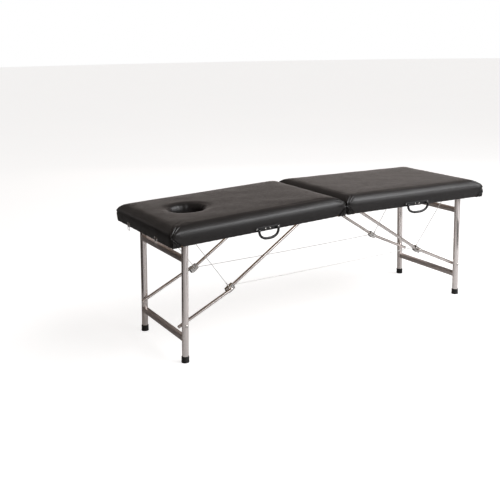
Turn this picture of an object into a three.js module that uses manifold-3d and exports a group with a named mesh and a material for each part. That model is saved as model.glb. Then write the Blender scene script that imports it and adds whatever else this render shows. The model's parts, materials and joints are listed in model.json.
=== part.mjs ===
// Portable folding massage table, set up. Millimetres, +Z up, standing on z = 0.
// +X runs to the foot end and -X to the head end, which has the face hole.
// The carry handles are on the -Y side. Every moving axis is parallel to Y,
// except the two handle pivots, which run along their own half.
import * as THREE from 'three';
import { mergeVertices } from 'three/addons/utils/BufferGeometryUtils.js';
import Module from 'manifold-3d';

const wasm = await Module();
wasm.setup();

// ---------- driving dimensions ----------
const ARCH = 1.35;            // each half falls this many degrees from the centre to its end
const HINGE_Z = 569.1;        // height of the centre hinge's axis
const HINGE_DROP = 2;         // the hinge's axis is this far under the frame
const HALF = 900.2;           // length of one half
const CENTRE_GAP = 2.2;       // from the hinge's axis to each half's centre face
const PAD_HY = 304;           // half width over the cover
const PAD_T = 85;             // thickness of one half, frame and pad together
const BEVEL_W = 42;           // how far inboard the pad's rolled edge runs
const BEVEL_H = 31;           // how far down it runs
const CORNER_R = 14;          // upright corners of each half
const COVER_T = 1.5;
const GAP = 0.3;
const RAIL_T = 20;
const RAIL_H = 52;
const DECK_T = 6;
const HOLE_X = 675;           // face hole, from the centre
const HOLE_R = 75.3;          // clear radius inside the lining
// legs
const PIVOT = [800, 19.5];    // leg pivot in a half's own x and z
const SPLAY = 3.64;           // leg lean outward from square to its half
const LEG_Y = 223.6;
const LEG_R = 15;
const LEG_WALL = 1.3;
const BAR = 24;               // square crossbar
const BAR_WALL = 1.5;
const BAR_UPPER = 101.8;      // from the leg pivot down the leg
const BAR_LOWER = 461.1;
const FOOT_R = 17.5;
const FOOT_H = 29;
const LEG_ROD_R = 5;
// braces
const BRACE_R = 7.5;
const BRACE_WALL = 1.2;
const BRACE_FOOT = 402.07;    // lower brace's pivot, from the leg pivot down the leg
const BRACE_TOP = [65, 43];   // upper brace's pivot in a half's own x and z
const KNUCKLE_FOLDED = [667.85, 31];
const OVERHANG = 27;          // lower brace past its leg pivot
const UPPER_Y = 182;
const LOWER_Y = 200;
const BRACE_ROD_R = 4;
// knuckle bracket
const BRACKET_L = 41.5;
const BRACKET_H = 29;
// cable
const CABLE_R = 1.5;
const CABLE_SAG = 4;
// piano hinge
const LEAF_X = [3.0, 22];
const BARREL_R = 2.6;
const PIN_R = 1.2;
const HINGE_HALF = 278;
const KNUCKLES = 9;
// handles
const HANDLE_X = 436;
const HANDLE = { head: 55, foot: 70.5 };   // half width over the grip
const GRIP_T = 10;
const GRIP_D = 9.4;
const GRIP_Y = -314.5;
const GRIP_Z = 8;
const GRIP_DROP = 45;
// latches
const LATCH_Y = 150;

const rad = (d) => (d * Math.PI) / 180;
const SHIFT_Y = (-(GRIP_Y - GRIP_D / 2) - PAD_HY) / 2;   // puts the origin under the middle of the outline

// ---------- solids ----------
function weld(geometry) {              // shared corners, positions only
  const g = geometry.clone();
  g.deleteAttribute('normal');
  if (g.attributes.uv) g.deleteAttribute('uv');
  return mergeVertices(g, 1e-4);
}

function solid(geometry) {
  const m = geometry.attributes.normal ? weld(geometry) : geometry;
  const p = m.attributes.position.array, idx = m.index.array, tri = [];
  let volume = 0;
  for (let i = 0; i < idx.length; i += 3) {
    const [a, b, c] = [idx[i], idx[i + 1], idx[i + 2]];
    if (a === b || b === c || c === a) continue;      // slivers at a lathe's poles
    tri.push(a, b, c);
    const [x, y, z] = [a, b, c].map((k) => new THREE.Vector3(p[3 * k], p[3 * k + 1], p[3 * k + 2]));
    volume += x.dot(y.cross(z));
  }
  if (volume < 0) tri.reverse();                      // faces point out
  return new wasm.Manifold(new wasm.Mesh({
    numProp: 3,
    vertProperties: new Float32Array(p),
    triVerts: new Uint32Array(tri),
  }));
}

function geometryOf(manifold) {
  const m = manifold.getMesh();
  const g = new THREE.BufferGeometry();
  g.setAttribute('position', new THREE.BufferAttribute(new Float32Array(m.vertProperties), 3));
  g.setIndex(new THREE.BufferAttribute(new Uint32Array(m.triVerts), 1));
  g.computeVertexNormals();
  return g;
}

function boxG(x0, x1, y0, y1, z0, z1) {
  const g = new THREE.BoxGeometry(Math.abs(x1 - x0), Math.abs(y1 - y0), Math.abs(z1 - z0));
  g.translate((x0 + x1) / 2, (y0 + y1) / 2, (z0 + z1) / 2);
  return g;
}

function rodG(p, q, r, n = 12) {
  const a = new THREE.Vector3(...p), b = new THREE.Vector3(...q);
  const g = weld(new THREE.CylinderGeometry(r, r, a.distanceTo(b), n));
  const turn = new THREE.Quaternion().setFromUnitVectors(
    new THREE.Vector3(0, 1, 0), b.clone().sub(a).normalize());
  g.applyQuaternion(turn);
  const c = a.add(b).multiplyScalar(0.5);
  g.translate(c.x, c.y, c.z);
  return g;
}

// a bar with domed ends, from p to q, both ends measured over the domes
function domedG(p, q, r, n = 12, dome = r) {
  const a = new THREE.Vector3(...p), b = new THREE.Vector3(...q);
  const len = a.distanceTo(b), pts = [new THREE.Vector2(0, 0)];
  for (let i = 1; i <= 2; i++) {
    const t = (i / 2) * Math.PI / 2;
    pts.push(new THREE.Vector2(r * Math.sin(t), dome * (1 - Math.cos(t))));
  }
  for (let i = 2; i >= 1; i--) {
    const t = (i / 2) * Math.PI / 2;
    pts.push(new THREE.Vector2(r * Math.sin(t), len - dome * (1 - Math.cos(t))));
  }
  pts.push(new THREE.Vector2(0, len));
  const g = weld(new THREE.LatheGeometry(pts, n));
  const turn = new THREE.Quaternion().setFromUnitVectors(
    new THREE.Vector3(0, 1, 0), b.clone().sub(a).normalize());
  g.applyQuaternion(turn);
  g.translate(a.x, a.y, a.z);
  return g;
}

function latheZ(points, n, x, y) {
  const g = weld(new THREE.LatheGeometry(points.map((p) => new THREE.Vector2(...p)), n));
  g.rotateX(Math.PI / 2);
  g.translate(x, y, 0);
  return g;
}

const box = (...a) => solid(boxG(...a));
const rod = (...a) => solid(rodG(...a));
const domed = (...a) => solid(domedG(...a));

// ---------- materials ----------
const colour = (c, roughness, metalness = 0) => () =>
  new THREE.MeshStandardMaterial({ color: c, roughness, metalness });
const VINYL = colour(0x2c2a2b, 0.5);
const FOAM = colour(0xd9cfae, 0.95);
const WOOD = colour(0xb98f5c, 0.7);
const STEEL = colour(0xc9c0bc, 0.22, 1);
const TAUPE = colour(0x8a7f7b, 0.35, 1);
const RUBBER = colour(0x141414, 0.85);
const PLASTIC = colour(0x1b1b1c, 0.5);
const WIRE = colour(0xc4c4c2, 0.4, 0.9);
const BRIGHT = colour(0xcfcfcf, 0.2, 1);

const table = new THREE.Group();
table.position.y = SHIFT_Y;

function add(parent, name, shape, material) {
  const g = shape.isBufferGeometry ? shape : geometryOf(shape);
  const mesh = new THREE.Mesh(g, material());
  mesh.name = name;
  parent.add(mesh);
  return mesh;
}

// ---------- the linkage, in a half's own x and z ----------
function meet(p, rp, q, rq) {          // the lower crossing of two circles
  const dx = q[0] - p[0], dz = q[1] - p[1], d = Math.hypot(dx, dz);
  const a = (rp * rp - rq * rq + d * d) / (2 * d), h = Math.sqrt(rp * rp - a * a);
  const mx = p[0] + (a * dx) / d, mz = p[1] + (a * dz) / d;
  const k1 = [mx + (h * dz) / d, mz - (h * dx) / d], k2 = [mx - (h * dz) / d, mz + (h * dx) / d];
  return k1[1] < k2[1] ? k1 : k2;
}
const distance = (p, q) => Math.hypot(p[0] - q[0], p[1] - q[1]);
const BRACE_END = [PIVOT[0] + BRACE_FOOT * Math.sin(rad(SPLAY)), PIVOT[1] - BRACE_FOOT * Math.cos(rad(SPLAY))];
const BRACE_END_FOLDED = [PIVOT[0] - BRACE_FOOT, PIVOT[1]];
const UPPER_L = distance(BRACE_TOP, KNUCKLE_FOLDED);
const LOWER_L = distance(BRACE_END_FOLDED, KNUCKLE_FOLDED);
const KNUCKLE = meet(BRACE_TOP, UPPER_L, BRACE_END, LOWER_L);

// ---------- pad outlines ----------
// a half's outer form, shrunk all round by inset and cut off below z = low
function padBlock(s, inset, low, fromUnder = false) {
  const x0 = CENTRE_GAP + inset, x1 = HALF - inset, hy = PAD_HY - inset;
  const a = s > 0 ? x0 : -x1, b = s > 0 ? x1 : -x0;
  const shape = new THREE.Shape([
    new THREE.Vector2(a + BEVEL_W, -hy + BEVEL_W), new THREE.Vector2(b - BEVEL_W, -hy + BEVEL_W),
    new THREE.Vector2(b - BEVEL_W, hy - BEVEL_W), new THREE.Vector2(a + BEVEL_W, hy - BEVEL_W)]);
  const depth = 200;
  const g = new THREE.ExtrudeGeometry(shape, {
    depth, steps: 1, bevelEnabled: true, bevelThickness: BEVEL_H, bevelSize: BEVEL_W, bevelSegments: 4 });
  g.translate(0, 0, PAD_T - inset - depth - BEVEL_H);
  return solid(g).intersect(box(-1000, 1000, -400, 400, low, 200)).intersect(prism(s, inset, fromUnder ? -10 : low - 1));
}

// upright block with a half's rounded plan outline
function prism(s, inset, low) {
  const x0 = CENTRE_GAP + inset, x1 = HALF - inset, hy = PAD_HY - inset, r = CORNER_R - inset;
  const a = s > 0 ? x0 : -x1, b = s > 0 ? x1 : -x0;
  const shape = new THREE.Shape();
  shape.moveTo(a + r, -hy);
  shape.lineTo(b - r, -hy); shape.absarc(b - r, -hy + r, r, -Math.PI / 2, 0, false);
  shape.lineTo(b, hy - r); shape.absarc(b - r, hy - r, r, 0, Math.PI / 2, false);
  shape.lineTo(a + r, hy); shape.absarc(a + r, hy - r, r, Math.PI / 2, Math.PI, false);
  shape.lineTo(a, -hy + r); shape.absarc(a + r, -hy + r, r, Math.PI, 1.5 * Math.PI, false);
  const g = new THREE.ExtrudeGeometry(shape, { depth: 200, bevelEnabled: false, curveSegments: 3 });
  g.translate(0, 0, low);
  return solid(g);
}

// the face hole as a plug: straight below, flaring to a soft rim at the top
function holePlug(s, wider) {
  const r = HOLE_R + wider, t = PAD_T - wider;
  return solid(latheZ([[0, -20], [r, -20], [r, t - 26], [r + 1.6, t - 15], [r + 6.5, t - 6.5],
    [r + 15, t - 1.6], [r + 26, t + 0.4], [r + 26, t + 12], [0, t + 12]].reverse(), 28, s * HOLE_X, 0));
}

function buildHalf(s) {
  const h = s > 0 ? 'foot' : 'head';
  const frame = new THREE.Group();             // turns about the centre hinge
  frame.position.z = HINGE_Z;
  frame.rotation.y = s * rad(ARCH);
  table.add(frame);
  const half = new THREE.Group();              // z = 0 is the underside of the wooden frame
  half.position.z = HINGE_DROP;
  frame.add(half);
  const X = (x) => s * x;
  const spanX = (a, b) => (s > 0 ? [a, b] : [-b, -a]);

  // --- wooden frame, deck, foam, cover ---
  const inner = COVER_T + GAP;
  const fit = prism(s, inner, -10);
  const rx0 = CENTRE_GAP + inner, rx1 = HALF - inner, ry1 = PAD_HY - inner, ry0 = ry1 - RAIL_T;
  const legBore = (y) => rod([X(PIVOT[0]), y * (ry0 - 1), PIVOT[1]], [X(PIVOT[0]), y * (ry0 + 8), PIVOT[1]], LEG_ROD_R + 0.6, 12);
  const braceBore = (y) => rod([X(BRACE_TOP[0]), y * (ry0 - 1), BRACE_TOP[1]], [X(BRACE_TOP[0]), y * (ry0 + 8), BRACE_TOP[1]], BRACE_ROD_R + 0.6, 12);
  for (const [side, y] of [['near', -1], ['far', 1]]) {
    const [a, b] = y < 0 ? [-ry1, -ry0] : [ry0, ry1];
    add(half, `rail_${side}_${h}`, box(...spanX(rx0, rx1), a, b, 0, RAIL_H).intersect(fit)
      .subtract(legBore(y)).subtract(braceBore(y)), WOOD);
  }
  add(half, `rail_outer_${h}`, box(...spanX(rx1 - RAIL_T, rx1), -ry0 + GAP, ry0 - GAP, 0, RAIL_H), WOOD);
  add(half, `rail_centre_${h}`, box(...spanX(rx0, rx0 + RAIL_T), -ry0 + GAP, ry0 - GAP, 0, RAIL_H), WOOD);
  let deck = box(...spanX(rx0, rx1), -ry1, ry1, RAIL_H + GAP, RAIL_H + GAP + DECK_T).intersect(fit)
    .intersect(padBlock(s, inner, 20));
  let foam = padBlock(s, inner, RAIL_H + DECK_T + 2 * GAP);
  let cover = padBlock(s, 0, 0).subtract(padBlock(s, COVER_T, -5, true));
  if (s < 0) {
    deck = deck.subtract(rod([X(HOLE_X), 0, 0], [X(HOLE_X), 0, 100], HOLE_R + COVER_T + 1.2, 28));
    foam = foam.subtract(holePlug(s, inner));
    cover = padBlock(s, 0, 0).subtract(padBlock(s, COVER_T, -5, true).subtract(holePlug(s, COVER_T)))
      .subtract(holePlug(s, 0)).subtract(rod([X(HOLE_X), 0, -9], [X(HOLE_X), 0, RAIL_H], HOLE_R + 6, 28));
  }
  add(half, `deck_board_${h}`, deck, WOOD);
  add(half, `foam_${h}`, foam, FOAM);
  add(half, `cover_${h}`, cover, VINYL);

  // --- rods that the legs and the upper braces turn on ---
  const ry = ry0 + 7.6;
  add(half, `leg_rod_${h}`, rod([X(PIVOT[0]), -ry, PIVOT[1]], [X(PIVOT[0]), ry, PIVOT[1]], LEG_ROD_R, 12), STEEL);
  add(half, `brace_rod_${h}`, rod([X(BRACE_TOP[0]), -ry, BRACE_TOP[1]], [X(BRACE_TOP[0]), ry, BRACE_TOP[1]], BRACE_ROD_R, 12), STEEL);

  // --- leg frame: its origin is the leg pivot, and the legs run down -z ---
  const leg = new THREE.Group();
  leg.position.set(X(PIVOT[0]), 0, PIVOT[1]);
  leg.rotation.y = -s * rad(SPLAY);
  half.add(leg);
  const pivotZ = HINGE_Z + (PIVOT[1] + HINGE_DROP) * Math.cos(rad(ARCH)) - PIVOT[0] * Math.sin(rad(ARCH));
  const lean = rad(SPLAY - ARCH);
  const legL = pivotZ / Math.cos(lean);
  const tubes = {};
  for (const [side, y] of [['near', -1], ['far', 1]]) {
    const cy = y * LEG_Y;
    tubes[side] = solid(domedG([0, cy, -(legL - 4.5)], [0, cy, 14], LEG_R, 18, 8))
      .intersect(box(-50, 50, cy - 50, cy + 50, -(legL - 13), 60));
    const hollow = rod([0, cy, -legL], [0, cy, 4], LEG_R - LEG_WALL, 18);
    add(leg, `leg_${side}_${h}`, tubes[side].subtract(hollow)
      .subtract(rod([0, cy - 30, 0], [0, cy + 30, 0], LEG_ROD_R + 0.6, 12))
      .subtract(rod([0, cy - 30, -BRACE_FOOT], [0, cy + 30, -BRACE_FOOT], 4.6, 12)), STEEL);
    // rubber foot: a cup around the end of the leg, cut level with the floor
    const floor = weld(new THREE.BoxGeometry(200, 200, 100));
    floor.translate(0, 0, -50);
    floor.rotateY(s * lean);
    floor.translate(0, cy, -legL);
    add(leg, `foot_${side}_${h}`, rod([0, cy, -(legL + 6)], [0, cy, -(legL - FOOT_H)], FOOT_R, 20)
      .subtract(rod([0, cy, -(legL - 12.5)], [0, cy, 0], LEG_R + 0.5, 20))
      .subtract(solid(floor)), RUBBER);
  }
  for (const [name, t] of [['upper', BAR_UPPER], ['lower', BAR_LOWER]]) {
    // the bar sits flush with the legs' outer side
    const [a, b] = s > 0 ? [LEG_R - BAR, LEG_R] : [-LEG_R, BAR - LEG_R];
    let bar = box(a, b, -LEG_Y, LEG_Y, -t - BAR / 2, -t + BAR / 2)
      .subtract(box(a + BAR_WALL, b - BAR_WALL, -LEG_Y - 1, LEG_Y + 1, -t - BAR / 2 + BAR_WALL, -t + BAR / 2 - BAR_WALL));
    for (const y of [-LEG_Y, LEG_Y])
      bar = bar.subtract(rod([0, y, -t - 40], [0, y, -t + 40], LEG_R + 0.5, 20))
        .subtract(box(a - 1, b + 1, y < 0 ? y - 20 : y, y < 0 ? y : y + 20, -t - 40, -t + 40));
    add(leg, `crossbar_${name}_${h}`, bar, TAUPE);
  }

  // --- braces ---
  const B = BRACE_TOP, K = KNUCKLE, D = BRACE_END;
  const along = (p, q, d) => { const n = distance(p, q); return [q[0] + ((q[0] - p[0]) * d) / n, q[1] + ((q[1] - p[1]) * d) / n]; };
  const P = (p, y) => [X(p[0]), y, p[1]];
  for (const [side, y] of [['near', -1], ['far', 1]]) {
    const uy = y * UPPER_Y, ly = y * LOWER_Y;
    const top = along(K, B, BRACE_R), tip = along(B, K, BRACE_R);
    add(half, `brace_upper_${side}_${h}`,
      domed(P(top, uy), P(tip, uy), BRACE_R, 12)
        .subtract(rod(P(along(K, B, 1), uy), P(along(B, K, -7), uy), BRACE_R - BRACE_WALL, 10))
        .subtract(rod([X(B[0]), uy - 20, B[1]], [X(B[0]), uy + 20, B[1]], BRACE_ROD_R + 0.6, 12))
        .subtract(rod([X(K[0]), uy - 20, K[1]], [X(K[0]), uy + 20, K[1]], 3.5, 12)), STEEL);
    // bracket: a channel over the end of the upper brace, with its half of the knuckle pin
    const u = [(K[0] - B[0]) / UPPER_L, (K[1] - B[1]) / UPPER_L];
    const tilt = Math.atan2(-u[1], u[0]);
    const bracket = new THREE.Group();
    bracket.position.set(X(K[0]), 0, K[1]);
    bracket.rotation.y = s * tilt;
    half.add(bracket);
    const side0 = Math.min(y * 171.5, y * 191.7), side1 = Math.max(y * 171.5, y * 191.7);
    const in0 = Math.min(y * 173.7, y * 190.1), in1 = Math.max(y * 173.7, y * 190.1);
    const [bx0, bx1] = s > 0 ? [-26, BRACKET_L - 26] : [26 - BRACKET_L, 26];
    let channel = box(bx0, bx1, side0, side1, -BRACKET_H / 2 - 2, BRACKET_H / 2 - 2)
      .subtract(box(bx0 - 1, bx1 + 1, in0, in1, -BRACKET_H, BRACE_R + 1.2));
    const pinA = y * 170.2, pinB = y * 191.9;
    channel = channel.add(rod([0, y * 171.0, 0], [0, y * 191.5, 0], 3, 12))
      .add(rod([0, pinA, 0], [0, y * 172.5, 0], 5, 12));
    add(bracket, `knuckle_bracket_${side}_${h}`, channel, BRIGHT);
    // lower brace, with its half of the knuckle pin and the pin through the leg
    const low = along(D, K, 10), end = along(K, D, OVERHANG);
    add(half, `brace_lower_${side}_${h}`,
      domed(P(low, ly), P(end, ly), BRACE_R, 12, 3)
        .subtract(rod(P(along(D, K, -14), ly), P(along(K, D, -14), ly), BRACE_R - BRACE_WALL, 10)
          .add(rod([X(K[0] + (D[0] - K[0]) * 0.5), ly, K[1] + (D[1] - K[1]) * 0.5], [X(K[0] + (D[0] - K[0]) * 0.5), ly, K[1] + (D[1] - K[1]) * 0.5 - 20], 1.5, 8)))
        .add(rod([X(K[0]), y * 195, K[1]], [X(K[0]), y * 208.7, K[1]], 5.5, 12))
        .add(rod([X(D[0]), y * 200, D[1]], [X(D[0]), y * 240.5, D[1]], 4, 12))
        .add(rod([X(D[0]), y * 239.2, D[1]], [X(D[0]), y * 241.8, D[1]], 7, 14)), STEEL);
  }

  // --- leaf of the piano hinge ---
  const w = (2 * HINGE_HALF) / KNUCKLES;
  let leaf = box(...spanX(...LEAF_X), -HINGE_HALF, HINGE_HALF, -1.8, -GAP);
  for (let i = s > 0 ? 1 : 0; i < KNUCKLES; i += 2) {
    const y0 = -HINGE_HALF + i * w + 0.25, y1 = y0 + w - 0.5;
    leaf = leaf.add(rod([0, y0, -HINGE_DROP], [0, y1, -HINGE_DROP], BARREL_R, 10)
      .subtract(rod([0, y0 - 1, -HINGE_DROP], [0, y1 + 1, -HINGE_DROP], PIN_R + 0.4, 10)))
      .add(box(...spanX(1.75, LEAF_X[0] + 0.4), y0, y1, -1.8, -GAP));
  }
  add(half, `hinge_leaf_${h}`, leaf, BRIGHT);

  // --- carry handle ---
  const c = X(HANDLE_X), hw = HANDLE[h], iw = hw - GRIP_T;
  let base = box(c - hw - 8, c + hw + 8, -PAD_HY - GAP - 2.5, -PAD_HY - GAP, 1, 21);
  for (const e of [-1, 1]) {
    const [a, b] = e > 0 ? [iw - 3.5, iw - 0.5] : [-iw + 0.5, -iw + 3.5];
    base = base.add(box(c + a, c + b, GRIP_Y - 4.4, -PAD_HY - GAP - 1, 2, 14)
      .subtract(rod([c + a - 1, GRIP_Y, GRIP_Z], [c + b + 1, GRIP_Y, GRIP_Z], 2.5, 10)));
  }
  add(half, `handle_base_${h}`, base, PLASTIC);
  const zb = GRIP_Z - GRIP_DROP, ro = 29, ri = 19, zt = GRIP_Z + 5;
  const U = new THREE.Shape();
  U.moveTo(-hw, zt); U.lineTo(-hw, zb + ro); U.absarc(-hw + ro, zb + ro, ro, Math.PI, 1.5 * Math.PI, false);
  U.lineTo(hw - ro, zb); U.absarc(hw - ro, zb + ro, ro, -Math.PI / 2, 0, false); U.lineTo(hw, zt);
  U.lineTo(iw, zt); U.lineTo(iw, zb + GRIP_T + ri); U.absarc(iw - ri, zb + GRIP_T + ri, ri, 0, -Math.PI / 2, true);
  U.lineTo(-iw + ri, zb + GRIP_T); U.absarc(-iw + ri, zb + GRIP_T + ri, ri, -Math.PI / 2, -Math.PI, true); U.lineTo(-iw, zt);
  const ug = new THREE.ExtrudeGeometry(U, { depth: GRIP_D, bevelEnabled: false, curveSegments: 6 });
  ug.rotateX(Math.PI / 2);
  ug.translate(c, GRIP_Y + GRIP_D / 2, 0);
  let grip = solid(ug);
  for (const e of [-1, 1])
    grip = grip.add(rod([c + e * (iw - 4.2), GRIP_Y, GRIP_Z], [c + e * (iw + 2), GRIP_Y, GRIP_Z], 2, 10));
  add(half, `handle_grip_${h}`, grip, PLASTIC);

  // --- latches on the head end, catches on the foot end ---
  for (const [side, y] of [['near', -1], ['far', 1]]) {
    const cy = y * LATCH_Y, x0 = HALF + GAP;
    if (s < 0) {
      let plate = box(...spanX(x0, x0 + 1.5), cy - 15, cy + 15, 1, 20);
      for (const e of [-1, 1])
        plate = plate.add(box(...spanX(x0 + 1, x0 + 4.1), cy + e * 12 - 0.9, cy + e * 12 + 0.9, 7.5, 14.5)
          .subtract(rod([X(x0 + 2.8), cy + e * 12 - 2, 11], [X(x0 + 2.8), cy + e * 12 + 2, 11], 1.05, 8)));
      add(half, `latch_base_${side}`, plate, BRIGHT);
      add(half, `latch_hasp_${side}`, box(...spanX(x0 + 2.0, x0 + 3.6), cy - 10.6, cy + 10.6, -16, 11.9)
        .subtract(box(...spanX(x0, x0 + 6), cy - 6.5, cy + 6.5, -13.5, -1.5))
        .add(rod([X(x0 + 2.8), cy - 12.7, 11], [X(x0 + 2.8), cy + 12.7, 11], 0.65, 8)), BRIGHT);
    } else {
      add(half, `latch_catch_${side}`, box(...spanX(x0, x0 + 1.5), cy - 12, cy + 12, 0.5, 17)
        .add(rod([X(x0 + 1), cy, 4], [X(x0 + 4.1), cy, 4], 3, 12)), BRIGHT);
    }
  }
  return { half, K, P };
}

const head = buildHalf(-1);
const foot = buildHalf(1);

// ---------- pin of the piano hinge ----------
add(table, 'hinge_pin', rod([0, -HINGE_HALF - 0.5, HINGE_Z], [0, HINGE_HALF + 0.5, HINGE_Z], PIN_R, 12), BRIGHT);

// ---------- one wire cable down each side: deck, knuckle, knuckle, deck ----------
table.updateMatrixWorld(true);
const world = (part, x, y, z) => {
  const v = new THREE.Vector3(x, y, z).applyMatrix4(part.half.matrixWorld);
  v.y -= SHIFT_Y;
  return [v.x, v.y, v.z];
};
for (const [side, y] of [['near', -1], ['far', 1]]) {
  const tops = [], bends = [];
  for (const [part, s] of [[head, -1], [foot, 1]]) {
    tops.push(world(part, s * 789, y * 184, RAIL_H - 1.5));
    const k = world(part, s * KNUCKLE[0], y * 168.4, KNUCKLE[1]);
    bends.push([k[0] - s * 4, k[1], k[2] + 9]);
  }
  const line = [];
  for (let i = 0; i <= 8; i++) {
    const t = i / 8;
    line.push(new THREE.Vector3(...bends[0].map((v, j) => v + (bends[1][j] - v) * t - (j === 2 ? CABLE_SAG * 4 * t * (1 - t) : 0))));
  }
  const ring = new THREE.Shape();
  ring.absarc(0, 0, CABLE_R, 0, 2 * Math.PI, false);
  const long = new THREE.ExtrudeGeometry(ring, { steps: 8, curveSegments: 3, bevelEnabled: false, extrudePath: new THREE.CatmullRomCurve3(line) });
  let cable = solid(long);
  for (const i of [0, 1]) {
    const ball = weld(new THREE.SphereGeometry(CABLE_R + 0.3, 8, 5));
    ball.translate(...bends[i]);
    cable = cable.add(rod(tops[i], bends[i], CABLE_R, 6)).add(solid(ball));
  }
  add(table, `cable_${side}`, cable, WIRE);
}

export default table;
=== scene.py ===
import bpy, bmesh, json, math
import numpy as np
from mathutils import Vector, Matrix, Quaternion, noise

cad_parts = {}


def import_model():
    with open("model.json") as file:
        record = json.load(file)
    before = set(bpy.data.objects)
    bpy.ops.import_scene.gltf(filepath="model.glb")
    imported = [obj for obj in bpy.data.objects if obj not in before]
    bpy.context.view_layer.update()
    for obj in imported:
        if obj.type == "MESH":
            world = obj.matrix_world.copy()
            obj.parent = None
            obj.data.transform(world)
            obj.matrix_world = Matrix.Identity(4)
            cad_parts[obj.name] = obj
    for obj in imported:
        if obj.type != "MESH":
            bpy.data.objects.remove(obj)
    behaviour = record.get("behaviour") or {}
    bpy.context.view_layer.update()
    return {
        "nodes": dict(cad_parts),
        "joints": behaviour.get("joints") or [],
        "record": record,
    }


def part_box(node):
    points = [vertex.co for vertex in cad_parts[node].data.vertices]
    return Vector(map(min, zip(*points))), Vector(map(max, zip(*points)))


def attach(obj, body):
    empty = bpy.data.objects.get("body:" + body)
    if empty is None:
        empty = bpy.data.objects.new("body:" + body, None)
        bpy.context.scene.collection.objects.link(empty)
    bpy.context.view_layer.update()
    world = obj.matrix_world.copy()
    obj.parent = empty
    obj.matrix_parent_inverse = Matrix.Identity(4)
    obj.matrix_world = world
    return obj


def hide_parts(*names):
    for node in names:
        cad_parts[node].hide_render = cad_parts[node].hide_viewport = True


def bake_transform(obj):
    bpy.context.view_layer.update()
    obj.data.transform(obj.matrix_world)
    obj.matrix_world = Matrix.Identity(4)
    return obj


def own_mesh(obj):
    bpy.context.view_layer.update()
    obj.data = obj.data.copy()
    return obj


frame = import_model()
scene = bpy.context.scene
record = frame["record"]
JOINT = {j["name"]: j for j in frame["joints"]}
MOUNT = {m["name"]: m for m in record["mounts"]}

# ------------------------------------------------------------------ frame
HINGE = Vector(JOINT["centre_fold"]["pos_m"])
n = Vector(MOUNT["bed_top_foot"]["axis"])
ARCH = math.atan2(n.x, n.z)
SIDES = (("near", -1), ("far", 1))
HALVES = (("head", -1), ("foot", 1))


def L(s, x, y, z):
    """A point of a half in mm: x outward from the centre hinge, y, z up from the underside of its frame."""
    zz, X = z + 2.0, s * x
    return Vector((
        (X * math.cos(s * ARCH) + zz * math.sin(s * ARCH)) / 1000 + HINGE.x,
        y / 1000 + HINGE.y,
        (-X * math.sin(s * ARCH) + zz * math.cos(s * ARCH)) / 1000 + HINGE.z))


def half_matrix(s):
    """mm in a half's own frame (x outward) to metres in the row frame"""
    o, ex, ey, ez = (L(s, *p) for p in ((0, 0, 0), (1, 0, 0), (0, 1, 0), (0, 0, 1)))
    m = Matrix.Identity(4)
    for i, e in enumerate((ex - o, ey - o, ez - o)):
        m.col[i][:3] = e
    m.col[3][:3] = o
    return m


# ------------------------------------------------------------------ camera
# measured viewpoint: in front of the head end's near corner, looking slightly down
cam = bpy.data.objects.new("camera", bpy.data.cameras.new("camera"))
scene.collection.objects.link(cam)
az, el, roll = -0.5348, 0.2791, -0.0184
back = Vector((math.sin(az) * math.cos(el), -math.cos(az) * math.cos(el), math.sin(el)))
right = (-back).cross(Vector((0, 0, 1))).normalized()
up = right.cross(-back).normalized()
r = math.cos(roll) * right + math.sin(roll) * up
u = -math.sin(roll) * right + math.cos(roll) * up
m = Matrix.Identity(4)
for i, v in enumerate((r, u, back)):
    m.col[i][:3] = v
m.col[3][:3] = Vector((-2.11953, -2.99037 + HINGE.y, 1.38089))
cam.matrix_world = m
cam.data.sensor_width = 36
cam.data.lens = 53.767
cam.data.clip_end = 500
scene.camera = cam


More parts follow.
